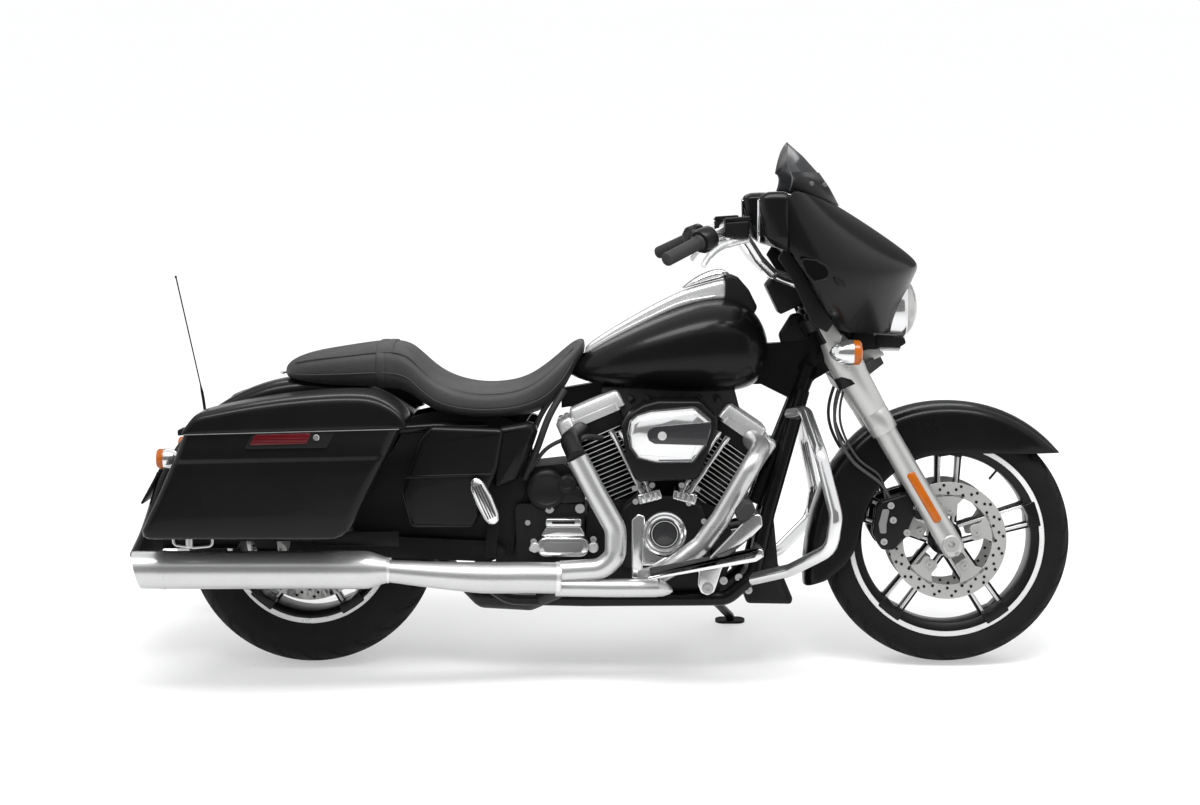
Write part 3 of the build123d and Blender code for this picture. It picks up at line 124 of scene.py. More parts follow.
# ---- forms -------------------------------------------------------------------
@dataclass
class Form:
    """A mesh in the making: its points and its faces."""

    points: list[Vector] = field(default_factory=list)
    faces: list[tuple[int, ...]] = field(default_factory=list)

    def __add__(self, other: Form) -> Form:
        """Both forms as one.

        Args:
            other: The other form.
        Returns:
            The joined form.
        """
        start = len(self.points)
        moved = [tuple(start + corner for corner in face) for face in other.faces]
        return Form(self.points + other.points, self.faces + moved)

    def placed(self, matrix: Matrix) -> Form:
        """The form moved by a matrix."""
        return Form([matrix @ point for point in self.points], list(self.faces))

    def moved(self, x: float = 0, y: float = 0, z: float = 0) -> Form:
        """The form shifted."""
        return self.placed(Matrix.Translation((x, y, z)))

    def mirrored(self) -> Form:
        """The form on the other side of the machine, still facing outwards."""
        flipped = [Vector((point.x, -point.y, point.z)) for point in self.points]
        return Form(flipped, [tuple(reversed(face)) for face in self.faces])

    def both_sides(self) -> Form:
        """The form and its mirror image."""
        return self + self.mirrored()

    def warped(self, warp: Callable[[Vector], Vector]) -> Form:
        """The form with each point moved by a rule."""
        return Form([warp(point) for point in self.points], list(self.faces))

    def squeezed(self, y: float, share: float) -> Form:
        """The form pressed towards a plane across Y, keeping a share of its depth."""
        return self.warped(lambda p: Vector((p.x, y + (p.y - y) * share, p.z)))

    def leaned(self, x: float, z: float, by_x: float, by_z: float) -> Form:
        """The form pushed inwards ahead of and below a place, to lie on a sloping side.

        Args:
            x: The place's X.
            z: Its height.
            by_x: The push for each millimetre ahead.
            by_z: The push for each millimetre below.
        Returns:
            The leaning form.
        """
        return self.warped(lambda p: Vector((p.x, p.y + (p.x - x) * by_x + (z - p.z) * by_z, p.z)))


def gather(forms: Iterable[Form]) -> Form:
    """Several forms as one."""
    return sum(forms, Form())


def loft(
    rings: Sequence[Sequence[Vector]], around: bool = True, closed: bool = False, capped: bool = True
) -> Form:
    """A skin over rings that have the same number of points.

    Args:
        rings: The rings, in order.
        around: Whether each ring joins its own end.
        closed: Whether the last ring joins the first.
        capped: Whether the end rings are filled.
    Returns:
        The skin.
    """
    count = len(rings[0])
    spans = len(rings) if closed else len(rings) - 1
    sides = count if around else count - 1
    faces = []
    for span in range(spans):
        here, there = span * count, (span + 1) % len(rings) * count
        for side in range(sides):
            after = (side + 1) % count
            faces.append((here + side, here + after, there + after, there + side))
    if around and capped and not closed:
        faces.append(tuple(reversed(range(count))))
        faces.append(tuple((len(rings) - 1) * count + corner for corner in range(count)))
    return Form([Vector(point) for ring in rings for point in ring], faces)


def bend(
    before: Sequence[float],
    corner: Sequence[float],
    after: Sequence[float],
    radius: float,
    limit: float,
    steps: int,
) -> list[Vector]:
    """A smooth bend in place of a corner.

    Args:
        before: The corner before it.
        corner: The corner.
        after: The corner after it.
        radius: The bend's radius.
        limit: The most that the bend may take of each run, as a share.
        steps: Spans of the bend.
    Returns:
        The bend's points.
    """
    here = Vector(corner)
    back, on = Vector(before) - here, Vector(after) - here
    reach = radius / max(math.tan(back.angle(on, math.pi) / 2), SHARPEST)
    reach = min(reach, limit * back.length, limit * on.length)
    start, end = here + back.normalized() * reach, here + on.normalized() * reach
    shares = [step / steps for step in range(steps + 1)]
    return [start.lerp(here, share).lerp(here.lerp(end, share), share) for share in shares]


def rounded(corners: Sequence[Flat], radius: float, steps: int = 4) -> list[Flat]:
    """A closed outline with its corners rounded.

    Args:
        corners: The outline's corners.
        radius: The corner radius, made smaller where an edge is too short.
        steps: Spans of each corner.
    Returns:
        The rounded outline's points.
    """
    result = []
    for index, corner in enumerate(corners):
        after = corners[(index + 1) % len(corners)]
        result += bend(corners[index - 1], corner, after, radius, 0.45, steps)
    return [tuple(point) for point in result]


def bent(corners: Sequence[Point], radius: float, steps: int = 6) -> list[Vector]:
    """An open route of straight runs joined by smooth bends.

    Args:
        corners: The route's two ends with the corners between them.
        radius: The bends' radius, made smaller where a run is too short.
        steps: Spans of each bend.
    Returns:
        The route's points.
    """
    trios = zip(corners, corners[1:], corners[2:])
    bends = [point for trio in trios for point in bend(*trio, radius, 0.48, steps)]
    return [Vector(corners[0]), *bends, Vector(corners[-1])]


def flowing(points: Sequence[Point], steps: int = 8) -> list[Vector]:
    """A smooth route through points.

    Args:
        points: The points that it passes.
        steps: Spans between two of them.
    Returns:
        The route's points.
    """
    knots = [Vector(point) for point in points]
    knots = [knots[0] * 2 - knots[1], *knots, knots[-1] * 2 - knots[-2]]
    result = []
    for first, start, end, last in zip(knots, knots[1:], knots[2:], knots[3:]):
        for step in range(steps):
            t = step / steps
            place = start * 2 + (end - first) * t
            place += (first * 2 - start * 5 + end * 4 - last) * t * t
            place += (start * 3 - first - end * 3 + last) * t**3
            result.append(place / 2)
    result.append(knots[-2])
    return result


def tube(route: Sequence[Vector], radius: float | Sequence[float], sides: int = 20) -> Form:
    """A round bar along a route.

    Args:
        route: The points that its middle passes.
        radius: Its radius, or one for each point.
        sides: Points around it.
    Returns:
        The bar, with flat ends.
    """
    radii = list(radius) if isinstance(radius, Sequence) else [radius] * len(route)
    rings = []
    across = (route[1] - route[0]).orthogonal().normalized()
    for index, centre in enumerate(route):
        ahead = route[min(index + 1, len(route) - 1)] - route[max(index - 1, 0)]
        ahead.normalize()
        across = (across - ahead * across.dot(ahead)).normalized()
        other = ahead.cross(across)
        angles = [math.tau * side / sides for side in range(sides)]
        ring = [centre + (across * math.cos(a) + other * math.sin(a)) * radii[index] for a in angles]
        rings.append(ring)
    return loft(rings)


def bar(start: Point, end: Point, radius: float, sides: int = 20, edge: float = 1.5) -> Form:
    """A straight round bar with softened ends.

    Args:
        start: The middle of one end.
        end: The middle of the other.
        radius: The bar's radius.
        sides: Points around it.
        edge: How much its end edges are cut off.
    Returns:
        The bar.
    """
    first, last = Vector(start), Vector(end)
    along = (last - first).normalized() * edge
    route = [first, first + along, last - along, last]
    return tube(route, [radius - edge, radius, radius, radius - edge], sides)


def lathe(
    profile: Sequence[Flat], centre: Point, axis: Point, steps: int = 64, closed: bool = False
) -> Form:
    """A turned form.

    Args:
        profile: Places along the axis with their radius.
        centre: Where the axis's zero lies.
        axis: The axis's direction.
        steps: Points around it.
        closed: Whether the profile joins its own end.
    Returns:
        The turned form.
    """
    along = Vector(axis).normalized()
    across = along.orthogonal().normalized()
    other = along.cross(across)
    rings = []
    for step in range(steps):
        angle = math.tau * step / steps
        spoke = across * math.cos(angle) + other * math.sin(angle)
        rings.append([Vector(centre) + along * place + spoke * radius for place, radius in profile])
    return loft(rings, around=closed, closed=True, capped=False)


def shrunk(outline: Sequence[Flat], inset: float) -> list[Flat]:
    """An outline moved inwards, whichever way round it runs.

    Args:
        outline: The outline.
        inset: How far it moves; outwards where negative.
    Returns:
        The moved outline.
    """
    area = sum(a[0] * b[1] - b[0] * a[1] for a, b in zip(outline, [*outline[1:], outline[0]]))
    turn = inset if area > 0 else -inset
    result = []
    for index, (x, y) in enumerate(outline):
        before, after = outline[index - 1], outline[(index + 1) % len(outline)]
        direction = Vector((after[0] - before[0], after[1] - before[1])).normalized()
        result.append((x - direction.y * turn, y + direction.x * turn))
    return result


def stack(outline: Sequence[Flat], layers: Sequence[Flat]) -> Form:
    """A form of one outline at several heights.

    Args:
        outline: The outline, as (x, y).
        layers: Heights, each with how far the outline is moved inwards there.
    Returns:
        The form.
    """
    rings = []
    for height, inset in layers:
        ring = shrunk(outline, inset) if inset else outline
        rings.append([Vector((x, y, height)) for x, y in ring])
    return loft(rings)


def soft_layers(near: float, far: float, edge: float) -> list[Flat]:
    """Layers of a block whose far edge is rounded and whose near edge is eased.

    Args:
        near: The block's near face.
        far: Its far face.
        edge: The far edge's radius.
    Returns:
        Layers for `stack`.
    """
    turns = [math.radians(angle) for angle in (0, 22, 45, 68, 90)]
    rounding = [(far - edge * (1 - math.sin(a)), edge * (1 - math.cos(a))) for a in turns]
    ease = min(edge, 1.5)
    return [(near, ease), (near + ease, 0.0), *rounding]


SIDEWAYS = Matrix(((1, 0, 0, 0), (0, 0, -1, 0), (0, 1, 0, 0), (0, 0, 0, 1)))


def panel(
    corners: Sequence[Flat], near: float, far: float, edge: float = 2.0, corner: float = 0.0
) -> Form:
    """A plate with a side-view outline, from `near` to `far` out to the right.

    Args:
        corners: The outline's corners, as (x, z).
        near: Its inner face, out from the middle plane.
        far: Its outer face.
        edge: How much its outer edge is rounded.
        corner: The radius of the outline's corners.
    Returns:
        The plate.
    """
    outline = rounded(corners, corner) if corner else list(corners)
    return stack(outline, soft_layers(near, far, edge)).placed(SIDEWAYS)


def bolt(x: float, out: float, z: float, radius: float = 8.0, height: float = 7.0) -> Form:
    """A socket bolt facing out to the right, with a washer and a hollow head.

    Args:
        x: Its place along the machine.
        out: How far out it is seated.
        z: Its height on the machine.
        radius: Its head's radius.
        height: Its head's height.
    Returns:
        The bolt.
    """
    washer = [(0, radius * 1.35), (2, radius * 1.35), (2, radius)]
    head = [(height, radius * 0.98), (height, radius * 0.55), (height - 4, radius * 0.5), (height - 4, 0)]
    return lathe(washer + head, (x, -out, z), (0, -1, 0), 18)


def grid(rows: Sequence[Sequence[Point]]) -> Form:
    """An open skin over rows of points."""
    return loft([[Vector(point) for point in row] for row in rows], around=False, capped=False)


def whole(half: Sequence[Sequence[Point]]) -> Form:
    """An open skin over columns from one side to the middle, with its other half added."""
    other = [[(x, -y, z) for x, y, z in column] for column in reversed(half[:-1])]
    return grid([*half, *other])


def box(start: float, end: float, half: float) -> list[Flat]:
    """A rectangle's corners: from `start` to `end`, and `half` to each side."""
    return [(start, -half), (end, -half), (end, half), (start, half)]


def swollen(half: float, low: float, high: float, power: float, count: int = 24) -> list[Flat]:
    """A rounded-box section, as (y, z).

    Args:
        half: Half its width.
        low: Its lowest height.
        high: Its highest.
        power: How square it is: 2 is an ellipse.
        count: Its points.
    Returns:
        The section.
    """
    middle, tall = (low + high) / 2, (high - low) / 2
    section = []
    for index in range(count):
        angle = math.tau * (index + 0.5) / count
        c, s = math.cos(angle), math.sin(angle)
        across = math.copysign(abs(c) ** (2 / power), c) * half
        section.append((across, middle + math.copysign(abs(s) ** (2 / power), s) * tall))
    return section


def reflected(half: Sequence[Flat]) -> list[Flat]:
    """A section from its right edge over its crown, with its left half added."""
    return [*half, *((-y, z) for y, z in reversed(half[:-1]))]


# ---- node trees --------------------------------------------------------------
def linked(name: str, data: bpy.types.ID) -> bpy.types.Object:
    """An object in the scene.

    Args:
        name: Its name.
        data: Its mesh, lamp or camera.
    Returns:
        The object.
    """
    thing = bpy.data.objects.new(name, data)
    bpy.context.scene.collection.objects.link(thing)
    return thing


@dataclass(frozen=True)
class Value:
    """A socket of a tree, used in plain arithmetic."""

    tree: Tree
    socket: bpy.types.NodeSocket

    def __add__(self, other: Operand) -> Value:
        """The sum."""
        return self.tree.math("ADD", self, other)

    def __rsub__(self, other: Operand) -> Value:
        """The difference."""
        return self.tree.math("SUBTRACT", other, self)

    def __mul__(self, other: Operand) -> Value:
        """The product."""
        return self.tree.math("MULTIPLY", self, other)

    def sine(self) -> Value:
        """The value's sine."""
        return self.tree.math("SINE", self, 0.0)


Operand = Value | bpy.types.NodeSocket | float


class Tree:
    """A node tree in the making."""

    def __init__(self, tree: bpy.types.NodeTree) -> None:
        """Empties the tree."""
        self.tree = tree
        tree.nodes.clear()

    def node(
        self, kind: str, sockets: Mapping[str | int, object] | None = None, **settings: object
    ) -> bpy.types.Node:
        """Adds a node.

        Args:
            kind: The node's type.
            sockets: Values or links of its inputs, by name or number.
            settings: Its properties, set before them.
        Returns:
            The node.
        """
        node = self.tree.nodes.new(kind)
        for key, setting in settings.items():
            setattr(node, key, setting)
        for key, value in (sockets or {}).items():
            self.feed(node.inputs[key], value)
        return node

    def feed(self, socket: bpy.types.NodeSocket, value: object) -> None:
        """Links a value into a socket, or sets it there.

        Args:
            socket: A node's input.
            value: A link, or a value to set.
        """
        if isinstance(value, Value):
            self.tree.links.new(value.socket, socket)
        elif isinstance(value, bpy.types.NodeSocket):
            self.tree.links.new(value, socket)
        elif isinstance(value, tuple) and len(value) == 3 and socket.type == "RGBA":
            socket.default_value = (*value, 1.0)
        else:
            socket.default_value = value

    def math(self, operation: str, first: Operand, second: Operand, kind: str = "Math") -> Value:
        """One sum on two values, or on two vectors where its kind is VectorMath."""
        node = self.node(f"ShaderNode{kind}", {0: first, 1: second}, operation=operation)
        return Value(self, node.outputs[0])


# ---- finishes ----------------------------------------------------------------
class Board(Tree):
    """A material in the making."""

    def __init__(self, name: str) -> None:
        """Starts an empty material.

        Args:
            name: Its name.
        """
        self.material = bpy.data.materials.new(name)
        self.material.use_nodes = True
        super().__init__(self.material.node_tree)
        self.place = self.node("ShaderNodeTexCoord").outputs["Object"]

    def stretched(self, scale: Point) -> bpy.types.NodeSocket:
        """The place on the object, stretched."""
        node = self.node("ShaderNodeMapping", {"Vector": self.place, "Scale": scale})
        return node.outputs["Vector"]

    def height(self) -> Value:
        """The height of the place on the object."""
        return Value(self, self.node("ShaderNodeSeparateXYZ", {0: self.place}).outputs["Z"])

    def cloud(self, scale: float, detail: float = 3.0, where: bpy.types.NodeSocket | None = None) -> Value:
        """Soft noise from zero to one.

        Args:
            scale: Its patches to a metre.
            detail: Its levels of finer noise.
            where: The place that it varies with, by default the place on the object.
        Returns:
            The noise.
        """
        sockets = {"Vector": where or self.place, "Scale": scale, "Detail": detail}
        return Value(self, self.node("ShaderNodeTexNoise", sockets).outputs["Fac"])

    def cells(self, scale: float) -> Value:
        """Distance within irregular cells."""
        node = self.node("ShaderNodeTexVoronoi", {"Vector": self.place, "Scale": scale})
        return Value(self, node.outputs["Distance"])

    def blend(self, share: Operand, first: object, second: object) -> bpy.types.NodeSocket:
        """A mix of two colours."""
        sockets = {"Factor": share, 6: first, 7: second}
        return self.node("ShaderNodeMix", sockets, data_type="RGBA").outputs[2]

    def bump(self, height: Operand, distance: float, under: object | None = None) -> bpy.types.NodeSocket:
        """A surface's relief.

        Args:
            height: The relief's shape.
            distance: How deep it is, in metres.
            under: A coarser or finer relief that it lies on.
        Returns:
            The surface's normal.
        """
        sockets = {"Height": height, "Distance": distance, "Strength": 1.0}
        if under is not None:
            sockets["Normal"] = under
        return self.node("ShaderNodeBump", sockets).outputs["Normal"]

    def finish(self, sockets: Mapping[str, object]) -> bpy.types.Material:
        """Ends the tree in a surface with these sockets.

        Args:
            sockets: The surface's inputs, by name.
        Returns:
            The material.
        """
        shader = self.node("ShaderNodeBsdfPrincipled", sockets)
        self.node("ShaderNodeOutputMaterial", {"Surface": shader.outputs[0]})
        return self.material


@dataclass(frozen=True)
class Coat:
    """A hard finish: paint, plating, casting, rubber or moulding."""

    name: str
    colour: Colour
    drift: Colour
    roughness: Flat
    metallic: float = 0.0
    grain: float = 900.0
    relief: float = 0.00002
    cloud: float = 9.0
    clear: float = 0.0
    specular: float = 0.5
    brush: Point = (1.0, 1.0, 1.0)

    def build(self) -> bpy.types.Material:
        """Drifting colour, varying gloss and a fine grain.

        Returns:
            The material.
        """
        board = Board(self.name)
        patch = board.cloud(self.cloud, 4.0)
        smear = board.cloud(self.cloud * 4.0, 5.0, board.stretched(self.brush))
        low, high = self.roughness
        grain = board.cloud(self.grain, 2.0, board.stretched(self.brush))
        return board.finish({
            "Base Color": board.blend(patch, self.colour, self.drift),
            "Roughness": smear * (high - low) + low,
            "Metallic": self.metallic,
            "Coat Weight": self.clear,
            "Coat Roughness": 0.04,
            "Specular IOR Level": self.specular,
            "Normal": board.bump(grain, self.relief),
        })


@dataclass(frozen=True)
class Leather:
    """Grained upholstery leather with soft wrinkles."""

    name: str = "black_leather"

    def build(self) -> bpy.types.Material:
        """Pebbled cells, wrinkles and a worn sheen in patches.

        Returns:
            The material.
        """
        board = Board(self.name)
        pebbles = board.cells(420.0)
        wrinkles = board.cloud(30.0, 6.0)
        wear = board.cloud(7.0, 3.0)
        fine = board.bump(pebbles, 0.0006)
        return board.finish({
            "Base Color": board.blend(wear, (0.017, 0.017, 0.017), (0.036, 0.035, 0.035)),
            "Roughness": 0.62 - wear * 0.22 + pebbles * 0.1,
            "Specular IOR Level": 0.4,
            "Normal": board.bump(wrinkles, 0.0015, fine),
        })


@dataclass(frozen=True)
class Tread:
    """Tyre rubber: fine mould grain and faint scuffs."""

    name: str = "tyre_rubber"

    def build(self) -> bpy.types.Material:
        """Dark rubber whose gloss drifts.

        Returns:
            The material.
        """
        board = Board(self.name)
        scuff = board.cloud(14.0, 6.0)
        grain = board.cloud(700.0, 3.0)
        return board.finish({
            "Base Color": board.blend(scuff, (0.005, 0.005, 0.005), (0.010, 0.010, 0.010)),
            "Roughness": scuff * 0.15 + 0.6,
            "Specular IOR Level": 0.1,
            "Normal": board.bump(grain, 0.0002),
        })


@dataclass(frozen=True)
class Lens:
    """A coloured or clear moulded lens with fine ribs, and where given a painted glow though no lamp lights
    it.
    """

    name: str
    colour: Colour
    roughness: float = 0.08
    ribs: float = 600.0
    transmission: float = 0.35
    # emission strength: a painted glow, for lenses that no lamp lights
    glow: float = 0.0

    def build(self) -> bpy.types.Material:
        """Coloured plastic, ribbed on its face.

        Returns:
            The material.
        """
        board = Board(self.name)
        ribs = (board.height() * self.ribs).sine()
        shade = tuple(channel * 0.6 for channel in self.colour)
        return board.finish({
            "Base Color": board.blend(board.cloud(25.0), self.colour, shade),
            "Roughness": board.cloud(40.0) * 0.05 + self.roughness,
            "Transmission Weight": self.transmission,
            "Coat Weight": 0.12,
            "Specular IOR Level": 0.3,
            "Emission Color": (*self.colour, 1.0),
            "Emission Strength": self.glow,
            "Normal": board.bump(ribs, 0.00008),
        })


@dataclass(frozen=True)
class SmokedScreen:
    """A tinted clear screen."""

    name: str = "smoked_screen"

    def build(self) -> bpy.types.Material:
        """Dark and barely see-through, with a slight drift of its tint.

        Returns:
            The material.
        """
        board = Board(self.name)
        tint = board.cloud(4.0)
        return board.finish({
            "Base Color": board.blend(tint, (0.02, 0.021, 0.023), (0.035, 0.036, 0.038)),
            "Roughness": board.cloud(60.0) * 0.06 + 0.2,
            "Alpha": board.cloud(3.0) * 0.03 + 0.95,
            "Specular IOR Level": 0.2,
        })


def grey(level: float) -> Colour:
    """A neutral colour."""
    return (level, level, level)


class Finish(Enum):
    """Every finish of the machine."""

    PAINT = Coat("gloss_black_paint", (0.003, 0.003, 0.0033), (0.005, 0.005, 0.0054), (0.2, 0.3), clear=0.06,
                 specular=0.15, relief=0.000008, grain=1400.0)
    MOULDING = Coat("black_moulding", grey(0.0045), grey(0.009), (0.32, 0.5), grain=2500.0, relief=0.00006,
                    specular=0.16)
    # near-black, barely shiny finish for the fairing vents: painted shade standing in for the dark inside of
    # the openings
    DUCT = Coat("duct_black", grey(0.001), grey(0.002), (0.5, 0.7), specular=0.05)
    SATIN = Coat(
        "satin_black", grey(0.0035), grey(0.007), (0.26, 0.4), grain=1500.0, relief=0.00003, specular=0.2
    )
    WRINKLE = Coat("wrinkle_black", grey(0.004), grey(0.008), (0.36, 0.55), grain=650.0, relief=0.0003,
                   specular=0.22)
    CHROME = Coat("chrome", grey(0.74), (0.66, 0.66, 0.67), (0.09, 0.17), metallic=0.92, grain=60.0,
                  relief=0.00003, cloud=12.0)
    DULL_CHROME = Coat("satin_chrome", grey(0.72), grey(0.62), (0.2, 0.32), metallic=0.6, grain=300.0,
                       relief=0.00004)
    EXHAUST = Coat("brushed_exhaust", grey(0.60), grey(0.5), (0.24, 0.34), metallic=0.8, grain=300.0,
                   relief=0.00003, brush=(0.2, 6.0, 6.0))
    SILVER = Coat("satin_silver", (0.52, 0.52, 0.51), (0.45, 0.45, 0.44), (0.3, 0.44), metallic=0.75,
                  grain=1200.0, relief=0.00003, cloud=6.0)
    MACHINED = Coat("machined_aluminium", (0.78, 0.78, 0.77), grey(0.7), (0.22, 0.36), metallic=0.4,
                    grain=900.0, relief=0.00005, brush=(1.0, 6.0, 1.0))
    STEEL = Coat("bolt_steel", (0.6, 0.6, 0.59), grey(0.45), (0.22, 0.4), metallic=0.7, grain=500.0)
    DISC = Coat("brake_disc_steel", (0.46, 0.46, 0.45), (0.36, 0.36, 0.35), (0.28, 0.44), metallic=0.5,
                grain=700.0, relief=0.00005, brush=(3.0, 1.0, 3.0))
    RUBBER = Coat(
        "black_rubber", grey(0.012), grey(0.02), (0.55, 0.75), grain=900.0, relief=0.0002, specular=0.35
    )
    TREAD = Tread()
    LEATHER = Leather()
    THREAD = Coat("dark_thread", grey(0.02), grey(0.035), (0.7, 0.9), grain=2000.0, relief=0.0002)
    BRAID = Coat(
        "braided_hose", grey(0.014), grey(0.06), (0.35, 0.6), grain=900.0, relief=0.0006, cloud=260.0
    )
    INLAY = Coat("grey_inlay", grey(0.12), grey(0.16), (0.3, 0.45), grain=1200.0)
    # the amber lenses get a faint painted glow, though no lamp is lit behind them
    AMBER = Lens("amber_lens", (0.42, 0.098, 0.004), glow=0.01, transmission=0.0)
    RED = Lens("red_lens", (0.075, 0.002, 0.004), ribs=900.0, transmission=0.0)
    CLEAR = Lens("clear_lens", (0.80, 0.80, 0.78), transmission=0.5, roughness=0.05)
    SCREEN = SmokedScreen()
    DIAL = Coat("dial_face", (0.01, 0.01, 0.011), (0.02, 0.02, 0.022), (0.2, 0.3), clear=0.6)
    MIRROR = Coat("mirror_glass", (0.7, 0.72, 0.74), (0.66, 0.68, 0.7), (0.02, 0.05), metallic=1.0,
                  grain=20.0, relief=0.00001)


# ---- patterns that repeat ----------------------------------------------------
class Pattern(Tree):
    """A geometry tree that repeats a stamp, built once and used by any piece."""

    def __init__(self, name: str) -> None:
        """Starts a tree with a stamp and a finish among its inputs.

        Args:
            name: Its name.
        """
        super().__init__(bpy.data.node_groups.new(name, "GeometryNodeTree"))
        self.sockets: dict[str, str] = {}
        self.inlet, self.outlet = self.node("NodeGroupInput"), self.node("NodeGroupOutput")
        self.tree.interface.new_socket("Geometry", in_out="OUTPUT", socket_type="NodeSocketGeometry")
        self.named("Stamp", "Object")
        self.named("Finish", "Material")

    def named(self, name: str, kind: str) -> bpy.types.NodeSocket:
        """Adds a named input.

        Args:
            name: Its name.
            kind: The kind of value that it takes.
        Returns:
            Where it comes out inside the tree.
        """
        socket = self.tree.interface.new_socket(name, in_out="INPUT", socket_type=f"NodeSocket{kind}")
        self.sockets[name] = socket.identifier
        return self.inlet.outputs[name]

    def step(self, kind: str, **inputs: object) -> bpy.types.NodeSocket:
        """Adds a geometry node with inputs given by name.

        Args:
            kind: The node's type, after its prefix.
            inputs: Its inputs.
        Returns:
            Its first output.
        """
        return self.node(f"GeometryNode{kind}", inputs).outputs[0]

    def vector(self, **parts: object) -> bpy.types.NodeSocket:
        """A vector of the parts given."""
        return self.node("ShaderNodeCombineXYZ", parts).outputs[0]

    def close(self, points: bpy.types.NodeSocket, turn: Value | bpy.types.NodeSocket) -> None:
        """Sets the stamp on points, makes it real and gives it its finish.

        Args:
            points: The points.
            turn: The stamp's turn at each of them.
        """
        source = self.node("GeometryNodeObjectInfo", {"Object": self.inlet.outputs["Stamp"]})
        stamp = source.outputs["Geometry"]
        copies = self.step("InstanceOnPoints", Points=points, Instance=stamp, Rotation=turn)
        real = self.step("RealizeInstances", Geometry=copies)
        dressed = self.step("SetMaterial", Geometry=real, Material=self.inlet.outputs["Finish"])
        self.feed(self.outlet.inputs[0], dressed)

    def made(self, values: Mapping[str, object]) -> bpy.types.Mesh:
        """Runs the tree once.

        Args:
            values: The inputs' values, by name.
        Returns:
            A plain mesh.
        """
        holder = linked("pattern_holder", bpy.data.meshes.new("pattern_holder"))
        modifier = holder.modifiers.new("pattern", "NODES")
        modifier.node_group = self.tree
        for name, value in values.items():
            modifier[self.sockets[name]] = value
        bpy.context.view_layer.update()
        graph = bpy.context.evaluated_depsgraph_get()
        mesh = bpy.data.meshes.new_from_object(holder.evaluated_get(graph), depsgraph=graph)
        bpy.data.objects.remove(holder)
        return mesh


def ring_pattern() -> Pattern:
    """A stamp repeated round a circle, turned to face outwards.

    Returns:
        The pattern, with its Count, Radius and Start as inputs.
    """
    pattern = Pattern("round_a_circle")
    count = pattern.named("Count", "Int")
    radius = pattern.named("Radius", "Float")
    about = pattern.vector(Z=pattern.named("Start", "Float"))
    circle = pattern.step("MeshCircle", Vertices=count, Radius=radius)
    turn = pattern.vector(Z=pattern.math("DIVIDE", pattern.step("InputIndex"), count) * math.tau)
    spun = pattern.step("Transform", Geometry=circle, Rotation=about)
    pattern.close(spun, pattern.math("ADD", turn, about, "VectorMath"))
    return pattern


def line_pattern() -> Pattern:
    """A stamp repeated in a straight line up Z.

    Returns:
        The pattern, with its Count and Pitch as inputs.
    """
    pattern = Pattern("along_a_line")
    count, pitch = pattern.named("Count", "Int"), pattern.named("Pitch", "Float")
    line = pattern.step("MeshLine", Count=count, Offset=pattern.vector(Z=pitch))
    pattern.close(line, pattern.vector())
    return pattern


